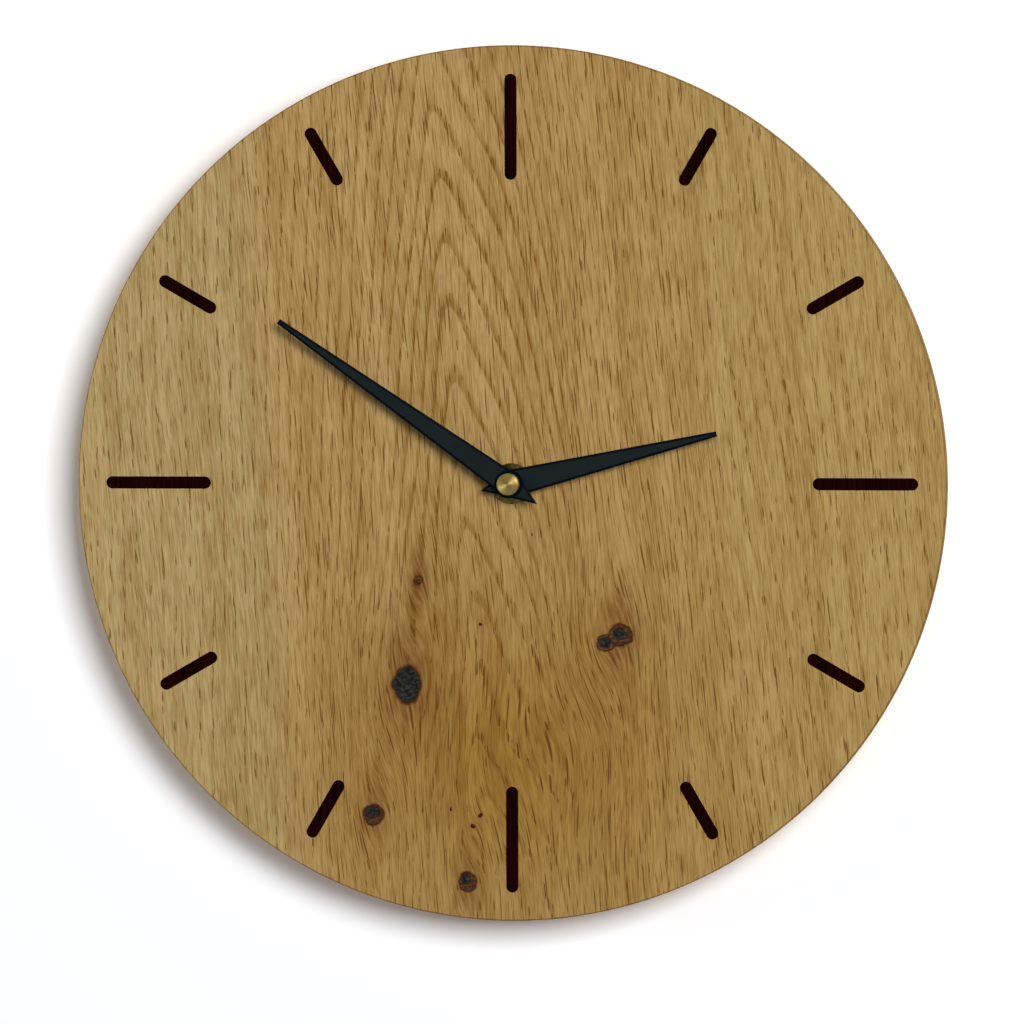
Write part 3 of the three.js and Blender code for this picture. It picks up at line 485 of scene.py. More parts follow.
        # How far the nearest knot of each sort is, where 1 is its ragged outline
        edge = add("TexNoise", place, None, 0.3, 2, 0.5).outputs["Color"]
        edge = add("VectorMath", edge, even, operation="SUBTRACT")
        unevenness = (self.raggedness, 0, self.raggedness)
        ragged = add("VectorMath", edge, unevenness, place, operation="MULTIPLY_ADD")
        bodies = [(knot.body, knot.core) for knot in (*KNOTS, SWIRL)]
        bodies += [(filling, Core.FILLED) for filling in FILLINGS]
        cores: dict[Core, Node | float] = dict.fromkeys(Core, FAR)
        for body, core in bodies:
            away = self.reach(recipe, ragged, body)
            away = add("VectorMath", away, operation="LENGTH").outputs["Value"]
            cores[core] = add("Math", cores[core], away, operation="MINIMUM")

        # The grain steps aside for the knots
        stained: Node | float = 0.0
        for knot in (*KNOTS, SWIRL):
            away = self.reach(recipe, place, knot.around())
            near = self.bell(recipe, away)
            aside = add("VectorMath", away, None, None, near, operation="SCALE")
            push = (-knot.push * knot.flow[0], 0, 0)
            grain = add("VectorMath", aside, push, grain, operation="MULTIPLY_ADD")
            stain = add("Math", near, 3, operation="POWER")
            stain = add("Math", stain, knot.stain, operation="MULTIPLY")
            stained = add("Math", stained, stain, operation="MAXIMUM")

        # The middle of the board, where the rings lie flat, and the arches high up in it
        across = add("SeparateXYZ", grain)
        aside = add("Math", across, self.flat_sawn_x, operation="SUBTRACT")
        aside = add("Math", aside, operation="ABSOLUTE")
        middle = add("MapRange", aside, *self.flat_sawn, 1, 0)
        arch = self.bell(recipe, self.reach(recipe, grain, self.arches))

        # How dark the wood is: rings, stripes, fibres and mottle together
        spring = self.rings(recipe, grain, growth)
        contrast = add("Math", arch, self.arch_contrast, self.ring_contrast, operation="MULTIPLY_ADD")
        band = add("Math", spring, contrast, operation="MULTIPLY")
        fine = recipe.drawn(grain, 0.4, 7)
        middling = recipe.drawn(grain, 0.8, 22, 2)
        stripe = recipe.drawn(grain, 9, 260)
        mottle = recipe.drawn(place, 5, 11)
        shares = ((band, 1.0), (fine, 1.3), (middling, 1.0), (stripe, 0.7), (mottle, 0.6))
        darkness: Node | float = self.tone - sum(share for _, share in shares[1:]) / 2
        for part, share in shares:
            darkness = add("Math", part, share, darkness, operation="MULTIPLY_ADD")
        colour = add("MixRGB", darkness, self.pale, self.dark, use_clamp=True)

        # Open pores: long dark ones in rows in the spring wood, a few elsewhere, and fine lines
        row = add("MapRange", spring, 0.35, 0.75, 0.04, 1)
        loose = add("Math", row, 0.3, operation="MULTIPLY")
        loose = add("Math", middle, 0.35, loose, operation="MULTIPLY_ADD")
        long_pore, difference = self.pores(recipe, grain, self.long_pores, loose)
        short_pore, _ = self.pores(recipe, grain, self.short_pores, row)
        line, _ = self.pores(recipe, grain, self.fine_lines, 0.5)
        inner = add("MixRGB", difference, self.pore, self.red_pore)
        marks = ((line, self.fine_lines), (short_pore, self.short_pores), (long_pore, self.long_pores))
        for mark, kind in marks:
            amount = add("Math", mark, kind.strength, operation="MULTIPLY")
            colour = add("MixRGB", amount, colour, inner)

        # Tints: redder in the middle, and darker and yellower at the right and low down
        streak = recipe.drawn(grain, 17, 300, 2)
        streak = add("MapRange", streak, 0.35, 0.65, 0.6, 1)
        middle = add("Math", middle, streak, operation="MULTIPLY")
        right = add("MapRange", across, *self.right_side, 0, 1)
        low = self.bell(recipe, self.reach(recipe, place, self.lower_middle))

        # The sawn rim and the outer half millimetre of the face, darker all round
        out = add("VectorMath", place, (1, 0, 1), operation="MULTIPLY")
        out = add("VectorMath", out, operation="LENGTH").outputs["Value"]
        rim = add("MapRange", out, self.radius - 0.5, self.radius - 0.2, 0, 1)
        tints = ((middle, self.warm), (right, self.yellow), (low, self.heart), (rim, self.rim_darkening))
        for amount, tint in tints:
            colour = add("MixRGB", amount, colour, tint, blend_type="MULTIPLY")

        # Knots
        amount = add("Math", stained, fine, operation="MULTIPLY")
        amount = add("Math", amount, 1.5, operation="MULTIPLY", use_clamp=True)
        colour = add("MixRGB", amount, colour, self.stain)
        for core, reach in cores.items():
            colour = self.core(recipe, colour, reach, core)

        # Relief
        height = add("Math", long_pore, -2, fine, operation="MULTIPLY_ADD")
        height = add("Math", short_pore, -0.6, height, operation="MULTIPLY_ADD")
        bump = add("Bump", 0.3, 0.0001, None, height)
        rough = add("MapRange", fine, 0.3, 0.7, 0.6, 0.76)
        recipe.finish(
            {"Base Color": colour, "Roughness": rough, "Specular IOR Level": 0.06, "Normal": bump}
        )

    def core(self, recipe: Recipe, colour: Node, reach: Node, core: Core) -> Node:
        """Paints the middle of the knots over the wood.

        Args:
            recipe: The material.
            colour: The colour so far.
            reach: The distance from the nearest knot, where 1 is its edge.
            core: What the knots are made of.

        Returns:
            The colour with the knots.
        """
        add = recipe.add
        dark, light = core.value
        flakes = recipe.drawn(recipe.place, 1.6, 1.0, 4)
        body = add("MapRange", flakes, 0.42, 0.75, 0, 1)
        body = add("MixRGB", body, dark, light)
        rim = add("MapRange", reach, 1.0, 1.2, 0.95, 0)
        colour = add("MixRGB", rim, colour, self.bark)
        inside = add("MapRange", reach, 0.88, 0.98, 1, 0)
        return add("MixRGB", inside, colour, body)


@dataclass(frozen=True)
class BurntOak(Finish):
    """Oak charred by the engraver: a red-black floor through which the grain faintly shows."""

    char: str = "#090000"
    glow: str = "#210302"

    def mix(self, recipe: Recipe) -> None:
        """Lays out the burnt bars.

        Args:
            recipe: The material.
        """
        add = recipe.add
        fibre = recipe.drawn(recipe.place, 0.9, 25)
        stops = ((0.35, linear(self.char)), (0.7, linear(self.glow)))
        colour = add("ValToRGB", fibre, stops=stops)
        bump = add("Bump", 0.4, 0.0001, None, fibre)
        recipe.finish(
            {"Base Color": colour, "Roughness": 0.95, "Specular IOR Level": 0.03, "Normal": bump}
        )


@dataclass(frozen=True)
class HandEnamel(Finish):
    """Stamped aluminium with matt black stoving enamel: nearly black, a little blue, finely pebbled."""

    colour: str = "#11181a"
    worn: str = "#192122"
    pebble: float = 0.35
    shine: float = 0.03

    def mix(self, recipe: Recipe) -> None:
        """Lays out the enamel.

        Args:
            recipe: The material.
        """
        add = recipe.add
        pebbles = add("TexNoise", recipe.place, None, 1 / self.pebble, 2, 0.5)
        cloud = add("TexNoise", recipe.place, None, 0.12, 2, 0.5)
        colour = add("MixRGB", cloud, self.colour, self.worn)
        bump = add("Bump", 0.25, 0.00002, None, pebbles)
        rough = add("MapRange", cloud, 0.3, 0.7, 0.5, 0.6)
        recipe.finish(
            {"Base Color": colour, "Roughness": rough, "Specular IOR Level": self.shine, "Normal": bump}
        )


@dataclass(frozen=True)
class ShadedEdgeEnamel(HandEnamel):
    """The same enamel on the hands' bevelled edges and round boss, made deeper and bluer: painted shade."""

    colour: str = "#01040a"
    worn: str = "#040911"
    shine: float = 0.02


@dataclass(frozen=True)
class TurnedBrass(Finish):
    """Bright brass faced on a lathe: fine rings about the axis, which catch the light in sectors."""

    colour: str = "#897848"
    shadow: str = "#5f5026"
    ring: float = 0.16

    def mix(self, recipe: Recipe) -> None:
        """Lays out the turned face.

        Args:
            recipe: The material.
        """
        add = recipe.add
        flat = add("VectorMath", recipe.place, (1, 0, 1), operation="MULTIPLY")
        radius = add("VectorMath", flat, operation="LENGTH").outputs["Value"]
        rings = add("Math", radius, 2 * math.pi / self.ring, operation="MULTIPLY")
        groove = add("Math", rings, operation="SINE")
        cloud = add("TexNoise", recipe.place, None, 0.9, 3, 0.6)
        colour = add("MixRGB", cloud, self.shadow, self.colour)
        bump = add("Bump", 0.3, 0.00002, None, groove)
        tangent = add("Tangent", direction_type="RADIAL", axis="Y")
        recipe.finish(
            {
                "Base Color": colour,
                "Metallic": 1.0,
                "Roughness": 0.38,
                "Anisotropic": 0.9,
                "Anisotropic Rotation": 0.25,
                "Tangent": tangent,
                "Normal": bump,
            }
        )


@dataclass(frozen=True)
class AgedBrass(Finish):
    """Milled brass with a brown film of age: dull, olive in patches."""

    colour: str = "#5c5129"
    film: str = "#1a160a"

    def mix(self, recipe: Recipe) -> None:
        """Lays out the dulled brass.

        Args:
            recipe: The material.
        """
        add = recipe.add
        cloud = add("TexNoise", recipe.place, None, 0.8, 4, 0.6)
        amount = add("MapRange", cloud, 0.35, 0.65, 0.15, 0.85)
        colour = add("MixRGB", amount, self.film, self.colour)
        rough = add("MapRange", cloud, 0.3, 0.7, 0.32, 0.2)
        bump = add("Bump", 0.15, 0.00002, None, cloud)
        recipe.finish({"Base Color": colour, "Metallic": 1.0, "Roughness": rough, "Normal": bump})


@dataclass(frozen=True)
class RolledSteel(Finish):
    """Cold-rolled strip with a zinc coat: grey, with faint drawn lines along the strip."""

    colour: str = "#a5a9ab"
    dark: str = "#84898c"
    line: float = 0.5

    def mix(self, recipe: Recipe) -> None:
        """Lays out the strip, whose lines run up and down.

        Args:
            recipe: The material.
        """
        add = recipe.add
        drawn = recipe.drawn(recipe.place, self.line, 40, 2)
        cloud = add("TexNoise", recipe.place, None, 0.15, 3, 0.6)
        both = add("Math", drawn, cloud, operation="ADD")
        amount = add("MapRange", both, 0.7, 1.3, 0, 1)
        colour = add("MixRGB", amount, self.dark, self.colour)
        rough = add("MapRange", drawn, 0.3, 0.7, 0.3, 0.42)
        bump = add("Bump", 0.12, 0.00002, None, drawn)
        recipe.finish({"Base Color": colour, "Metallic": 1.0, "Roughness": rough, "Normal": bump})


@dataclass(frozen=True)
class MotorSteel(RolledSteel):
    """Soft iron sheet, blanked and annealed: darker and duller than the zinc-coated strip."""

    colour: str = "#8f9295"
    dark: str = "#6b6e72"
    line: float = 0.3


@dataclass(frozen=True)
class NickelStrip(RolledSteel):
    """Nickel-plated spring strip: bright, with a faint yellow cast."""

    colour: str = "#c9c6bd"
    dark: str = "#aaa79e"
    line: float = 0.25


@dataclass(frozen=True)
class SinteredMagnet(RolledSteel):
    """Pressed and sintered magnet: dark grey and grainy, with no lines."""

    colour: str = "#5d6164"
    dark: str = "#3f4346"
    line: float = 20.0


@dataclass(frozen=True)
class MouldedPlastic(Finish):
    """An injection-moulded plastic: even colour, and a fine grain from the eroded mould."""

    colour: str = "#17181a"
    light: str = "#232427"
    grain: float = 0.4
    relief: float = 0.25
    roughness: tuple[float, float] = (0.42, 0.55)

    def mix(self, recipe: Recipe) -> None:
        """Lays out the moulded surface.

        Args:
            recipe: The material.
        """
        add = recipe.add
        grain = add("TexNoise", recipe.place, None, 1 / self.grain, 2, 0.6)
        cloud = add("TexNoise", recipe.place, None, 0.08, 3, 0.6)
        colour = add("MixRGB", cloud, self.colour, self.light)
        bump = add("Bump", self.relief, 0.00003, None, grain)
        low, high = self.roughness
        rough = add("MapRange", cloud, 0.3, 0.7, low, high)
        recipe.finish({"Base Color": colour, "Roughness": rough, "Normal": bump})


@dataclass(frozen=True)
class BlackAbs(MouldedPlastic):
    """ABS of the movement's case: black, with a matt eroded grain."""


@dataclass(frozen=True)
class WhiteAcetal(MouldedPlastic):
    """Acetal of the wheels and the bridge: milky white and smooth, slightly waxy."""

    colour: str = "#dedad0"
    light: str = "#edeae2"
    grain: float = 0.25
    relief: float = 0.08
    roughness: tuple[float, float] = (0.3, 0.4)


@dataclass(frozen=True)
class NitrileRubber(MouldedPlastic):
    """Nitrile rubber of the gasket: charcoal, dead matt, with a cloth-like mould grain."""

    colour: str = "#1f2022"
    light: str = "#2c2d30"
    grain: float = 0.6
    relief: float = 0.5
    roughness: tuple[float, float] = (0.78, 0.9)


@dataclass(frozen=True)
class PhenolicBoard(MouldedPlastic):
    """Paper laminate of the circuit board: tan, with the paper's mottle."""

    colour: str = "#7d5a2c"
    light: str = "#a07a41"
    grain: float = 0.5
    relief: float = 0.2
    roughness: tuple[float, float] = (0.45, 0.6)


@dataclass(frozen=True)
class ChipResin(MouldedPlastic):
    """Cured black epoxy over the chip: glossy, with the slight ripple of a poured drop."""

    colour: str = "#0f1012"
    light: str = "#16171a"
    grain: float = 2.5
    relief: float = 0.15
    roughness: tuple[float, float] = (0.12, 0.2)


@dataclass(frozen=True)
class EnamelledCopper(Finish):
    """Fine copper wire with a clear red-brown enamel, wound in layers: close rings along the coil."""

    colour: str = "#b8642f"
    # painted shade: the grooves between the turns are darkened
    groove_shade: str = "#5b2a10"
    pitch: float = 0.3  # the real wire of 0.03 mm is too fine to show

    def mix(self, recipe: Recipe) -> None:
        """Lays out the turns, which follow each other along x.

        Args:
            recipe: The material.
        """
        add = recipe.add
        along = add("SeparateXYZ", recipe.place).outputs["X"]
        turns = add("Math", along, 2 * math.pi / self.pitch, operation="MULTIPLY")
        turn = add("Math", turns, operation="SINE")
        # Painted shade in the grooves between the turns, where the sine is low
        amount = add("MapRange", turn, -1, 0.2, 0, 1)
        colour = add("MixRGB", amount, self.groove_shade, self.colour)
        bump = add("Bump", 0.6, 0.00005, None, turn)
        recipe.finish(
            {"Base Color": colour, "Metallic": 0.8, "Roughness": 0.3, "Coat Weight": 0.5, "Normal": bump}
        )


@dataclass(frozen=True)
class CellSleeve(Finish):
    """Shrunk plastic film over the steel can: blue, with a paler band at the plus end, bare ends."""

    colour: str = "#2c6388"
    deep: str = "#1d4866"
    band: str = "#c9c3ae"
    band_start: float = 14.0
    can: str = "#b9b9b5"
    end: float = 24.0

    def mix(self, recipe: Recipe) -> None:
        """Lays out the sleeve along x, with the bare steel past its ends.

        Args:
            recipe: The material.
        """
        add = recipe.add
        along = add("SeparateXYZ", recipe.place).outputs["X"]
        cloud = add("TexNoise", recipe.place, None, 0.2, 3, 0.6)
        colour = add("MixRGB", cloud, self.deep, self.colour)
        banded = add("MapRange", along, self.band_start - 0.05, self.band_start + 0.05, 0, 1)
        colour = add("MixRGB", banded, colour, self.band)
        outward = add("Math", along, operation="ABSOLUTE")
        bare = add("MapRange", outward, self.end - 0.05, self.end + 0.05, 0, 1)
        colour = add("MixRGB", bare, colour, self.can)
        rough = add("MapRange", cloud, 0.3, 0.7, 0.22, 0.34)
        recipe.finish({"Base Color": colour, "Metallic": bare, "Roughness": rough, "Coat Weight": 0.3})


FINISH_OF = {
    Slot.OAK: OiledOak,
    Slot.HAND: HandEnamel,
    Slot.BRIGHT_BRASS: TurnedBrass,
    Slot.DULL_BRASS: AgedBrass,
    Slot.HANGER: RolledSteel,
    Slot.GASKET: NitrileRubber,
    Slot.CASE: BlackAbs,
    Slot.GEAR: WhiteAcetal,
    Slot.MOTOR: MotorSteel,
    Slot.CONTACT: NickelStrip,
    Slot.MAGNET: SinteredMagnet,
    Slot.COIL: EnamelledCopper,
    Slot.BOARD: PhenolicBoard,
    Slot.CHIP: ChipResin,
    Slot.CELL: CellSleeve,
}


# Modelling by hand


def only(piece: Object) -> None:
    """Makes one object the only selected one, and the active one.

    Args:
        piece: The object.
    """
    bpy.ops.object.select_all(action="DESELECT")
    piece.select_set(True)
    bpy.context.view_layer.objects.active = piece


@contextmanager
def editing(piece: Object, part: Part = Part.FACE) -> Iterator[None]:
    """Opens a piece in edit mode with nothing selected.

    Args:
        piece: The piece.
        part: What is picked.

    Returns:
        Nothing to use, once, while the piece is open.
    """
    only(piece)
    bpy.ops.object.mode_set(mode="EDIT")
    bpy.ops.mesh.select_mode(type=part.value)
    bpy.ops.mesh.select_all(action="DESELECT")
    yield
    bpy.ops.object.mode_set(mode="OBJECT")


def pick(piece: Object, test: Callable[[Vector], bool], part: Part = Part.FACE) -> None:
    """Selects the parts of a piece in edit mode by where they lie.

    Args:
        piece: The piece being edited.
        test: Whether a place, the middle of a face or edge, belongs to the selection.
        part: What is picked.
    """
    bpy.ops.mesh.select_all(action="DESELECT")
    mesh = bmesh.from_edit_mesh(piece.data)
    if part is Part.FACE:
        for face in mesh.faces:
            face.select_set(test(face.calc_center_median()))
    elif part is Part.EDGE:
        for edge in mesh.edges:
            edge.select_set(test((edge.verts[0].co + edge.verts[1].co) / 2))
    else:
        for vert in mesh.verts:
            vert.select_set(test(vert.co))
    bmesh.update_edit_mesh(piece.data)


def settle(piece: Object, smooth: float = 30) -> Object:
    """Puts a piece's place into its mesh and smooths its shading.

    Args:
        piece: The piece.
        smooth: The angle in degrees up to which faces look smooth.

    Returns:
        The piece.
    """
    only(piece)
    bpy.ops.object.transform_apply(location=True, rotation=True, scale=True)
    bpy.ops.object.shade_smooth_by_angle(angle=math.radians(smooth))
    return piece


def rounded(piece: Object, width: float, segments: int = 2, angle: float = 30) -> None:
    """Rounds the sharp edges of a piece.

    Args:
        piece: The piece.
        width: How far they are rounded, in mm.
        segments: How many faces round an edge.
        angle: The angle in degrees past which an edge is sharp.
    """
    only(piece)
    bevel = piece.modifiers.new("rounding", "BEVEL")
    bevel.width = width * MM
    bevel.segments = segments
    bevel.limit_method = "ANGLE"
    bevel.angle_limit = math.radians(angle)
    bevel.use_clamp_overlap = True
    bpy.ops.object.modifier_apply(modifier=bevel.name)


def carved(piece: Object, cutter: Object, cut: Cut = Cut.AWAY, manifold: bool = False) -> Object:
    """Cuts a piece with another, which is used up.

    Args:
        piece: The piece.
        cutter: The cutter.
        cut: What is made of the two.
        manifold: Whether the cut is worked out in the way that suits a piece with fine rounded edges.

    Returns:
        The piece.
    """
    only(piece)
    boolean = piece.modifiers.new("cut", "BOOLEAN")
    boolean.operation = cut.value
    boolean.solver = "MANIFOLD" if manifold else "EXACT"
    boolean.object = cutter
    bpy.ops.object.modifier_apply(modifier=boolean.name)
    bpy.data.objects.remove(cutter)
    return piece


def block(middle: tuple[float, float, float], size: tuple[float, float, float]) -> Object:
    """Adds a block.

    Args:
        middle: The place of its middle in mm.
        size: Its size in mm.

    Returns:
        The block, settled.
    """
    bpy.ops.object.select_all(action="DESELECT")
    bpy.ops.mesh.primitive_cube_add(size=MM, location=Vector(middle) * MM, scale=size)
    return settle(bpy.context.object)


def turned_blank(
    name: str, radius: float, back: float, front: float, centre: tuple[float, float] = (0, 0), sides: int = 96
) -> Object:
    """Adds a round blank that stands out from the wall.

    Args:
        name: The piece's name.
        radius: Its radius in mm.
        back: The height of its back in mm.
        front: The height of its front in mm.
        centre: The x and z of its axis in mm.
        sides: Its facets.

    Returns:
        The blank, settled.
    """
    bpy.ops.object.select_all(action="DESELECT")
    bpy.ops.mesh.primitive_cylinder_add(
        vertices=sides,
        radius=radius * MM,
        depth=(front - back) * MM,
        location=(centre[0] * MM, -(back + front) / 2 * MM, centre[1] * MM),
        rotation=(math.pi / 2, 0, 0),
    )
    blank = bpy.context.object
    blank.name = name
    return settle(blank)


def bored(piece: Object, radius: float, back: float, front: float, sides: int = 96) -> None:
    """Bores a piece right through along the hands' axis, from its back to its front, all in mm."""
    carved(piece, turned_blank("bore", radius, back - 1, front + 1, sides=sides))


def copied(node: str, name: str) -> Object:
    """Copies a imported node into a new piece, with its loose triangles merged and flat faces whole.

    Args:
        node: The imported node.
        name: The new piece's name.

    Returns:
        The new piece, on nothing yet.
    """
    source = frame["nodes"][node]
    piece = bpy.data.objects.new(name, source.data.copy())
    bpy.context.scene.collection.objects.link(piece)
    with editing(piece, Part.POINT):
        bpy.ops.mesh.select_all(action="SELECT")
        bpy.ops.mesh.remove_doubles(threshold=0.002 * MM)
        bpy.ops.mesh.dissolve_limited(angle_limit=math.radians(1))
        bpy.ops.mesh.normals_make_consistent(inside=False)
    return piece


def dressed(piece: Object, slot: Slot, body: Body, node: str, smooth: float = 30) -> Object:
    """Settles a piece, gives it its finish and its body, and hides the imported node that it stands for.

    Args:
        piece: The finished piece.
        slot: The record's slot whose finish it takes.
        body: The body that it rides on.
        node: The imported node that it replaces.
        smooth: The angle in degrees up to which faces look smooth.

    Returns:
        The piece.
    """
    settle(piece, smooth)
    weights = piece.modifiers.new("flat faces", "WEIGHTED_NORMAL")
    weights.keep_sharp = True
    bpy.ops.object.modifier_apply(modifier=weights.name)
    piece.data.materials.clear()
    piece.data.materials.append(FINISH_OF[slot]().material())
    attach(piece, body.value)
    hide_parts(node)
    log.info("%s: %d faces, rides on %s", piece.name, len(piece.data.polygons), body.value)
    return piece


def heights(node: str) -> tuple[float, float]:
    """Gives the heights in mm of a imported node's back and front above the wall."""
    low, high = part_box(node)
    return -high.y / MM, -low.y / MM


def spread(node: str) -> float:
    """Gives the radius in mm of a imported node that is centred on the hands' axis."""
    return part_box(node)[1].x / MM


# The clock's pieces


@dataclass
class Dial:
    """The round board with its twelve burnt bars, a long one at every third. Sizes in mm."""

    edge: float = 0.5
    bar_width: float = 4.2
    bar_depth: float = 0.8
    bar_outer: float = 140.3
    long_bar: float = 36.3
    short_bar: float = 22.2
    bore: float = 4.3
    slack: float = 1.0  # how far past the bars' ends their faces are looked for

    def bar_cutter(self, length: float, front: float) -> Object:
        """Models the round-ended cutter of a bar that points at twelve.

        Args:
            length: The bar's length.
            front: The height of the dial's face.

        Returns:
            The cutter.
        """
        middle = (0, -front, self.bar_outer - length / 2)
        cutter = block(middle, (self.bar_width, 2 * self.bar_depth, length))
        half = self.bar_width / 2 * MM
        with editing(cutter, Part.EDGE):
            corner = Vector((half, -front * MM))
            within = NEAR * MM
            pick(cutter, lambda place: (Vector((abs(place.x), place.y)) - corner).length < within, Part.EDGE)
            almost_half = 0.998 * half  # so that the two roundings don't meet
            bpy.ops.mesh.bevel(offset=almost_half, segments=12, affect="EDGES")
        return cutter

    def build(self) -> Object:
        """Turns the board, cuts the bars and the bore, and chars the bars."""
        back, front = heights("dial_plate")
        board = turned_blank("oak_board", spread("dial_plate"), back, front, sides=360)
        rounded(board, self.edge, segments=3)
        masters = {length: self.bar_cutter(length, front) for length in (self.long_bar, self.short_bar)}
        cutters = []
        for hour in range(12):
            master = masters[self.short_bar if hour % 3 else self.long_bar]
            cutter = bpy.data.objects.new(f"bar_cutter_{hour}", master.data.copy())
            bpy.context.scene.collection.objects.link(cutter)
            cutter.rotation_euler = (0, math.radians(30 * hour), 0)
            cutters.append(settle(cutter))
        for master in masters.values():
            bpy.data.objects.remove(master)
        only(cutters[0])
        for cutter in cutters:
            cutter.select_set(True)
        bpy.ops.object.join()
        carved(board, cutters[0])
        bored(board, self.bore, back, front)
        dressed(board, Slot.OAK, Body.CLOCK, "dial_plate")
        board.data.materials.append(BurntOak().material())
        for face in board.data.polygons:
            reach = math.hypot(face.center.x, face.center.z) / MM
            depth = front + face.center.y / MM
            inner = self.bar_outer - self.long_bar
            among_bars = inner - self.slack < reach < self.bar_outer + self.slack
            face.material_index = int(among_bars and 2 * NEAR < depth < 1.5 * self.bar_depth)
        return board


@dataclass
class Hand:
    """One tapered hand with a pointed tail, pointing at a clock angle in degrees. Sizes in mm."""

    node: str
    body: Body
    length: float
    width: float
    tail: float
    shoulder: float
    bore: float
    angle: float
    boss: float = 0.0
    tip: float = 1.8
    boss_height: float = 0.12
    chamfer: float = 0.8
    chamfer_drop: float = 0.2
    edge: float = 0.08

    def build(self) -> Object:
        """Shapes the hand upright, bevels and bores it, and turns it to its angle."""
        back, front = heights(self.node)
        flat = front - self.chamfer_drop
        middle = (0, -(back + flat) / 2, (self.length - self.tail) / 2)
        hand = block(middle, (self.width, flat - back, self.length + self.tail))
        hand.name = self.node + "_blade"
        with editing(hand, Part.POINT):
            bpy.ops.mesh.select_all(action="SELECT")
            bpy.ops.mesh.bisect(plane_co=(0, 0, -self.shoulder * MM), plane_no=(0, 0, 1))
            pick(hand, lambda place: place.z > (self.length - NEAR) * MM, Part.POINT)
            bpy.ops.transform.resize(value=(self.tip / self.width, 1, 1), center_override=(0, 0, 0))
            pick(hand, lambda place: place.z < (NEAR - self.tail) * MM, Part.POINT)
            bpy.ops.transform.resize(value=(0, 1, 1), center_override=(0, 0, 0))
            bpy.ops.mesh.remove_doubles(threshold=NEAR * MM)
        with editing(hand):
            pick(hand, lambda place: place.y < -(flat - NEAR) * MM)
            bpy.ops.mesh.inset(thickness=self.chamfer * MM, use_boundary=True)
            bpy.ops.transform.translate(value=FRONTWARDS * self.chamfer_drop * MM)
        if self.boss:
            carved(hand, turned_blank("boss", self.boss, back, front + self.boss_height), Cut.JOINED)
        bored(hand, self.bore, back, front, sides=48)
        rounded(hand, self.edge, segments=1, angle=40)
        hand.rotation_euler = (0, math.radians(self.angle), 0)
        dressed(hand, Slot.HAND, self.body, self.node, smooth=15)
        hand.data.materials.append(ShadedEdgeEnamel().material())
        # The bevels, sides and boss take the darker enamel: painted shade along the edges and round the cap
        # nut
        for face in hand.data.polygons:
            raised = face.center.y < -(front + self.boss_height / 2) * MM
            face.material_index = int(raised or face.normal.y > -0.99)
        return hand


HANDS = (
    Hand("hour_hand", Body.HOUR, 73.5, width=9.5, tail=10.2, shoulder=0.0, bore=2.2, angle=76.4),
    Hand("minute_hand", Body.MINUTE, 97, width=8.6, tail=12, shoulder=0.8, bore=1.3, angle=305, boss=4.9),
)


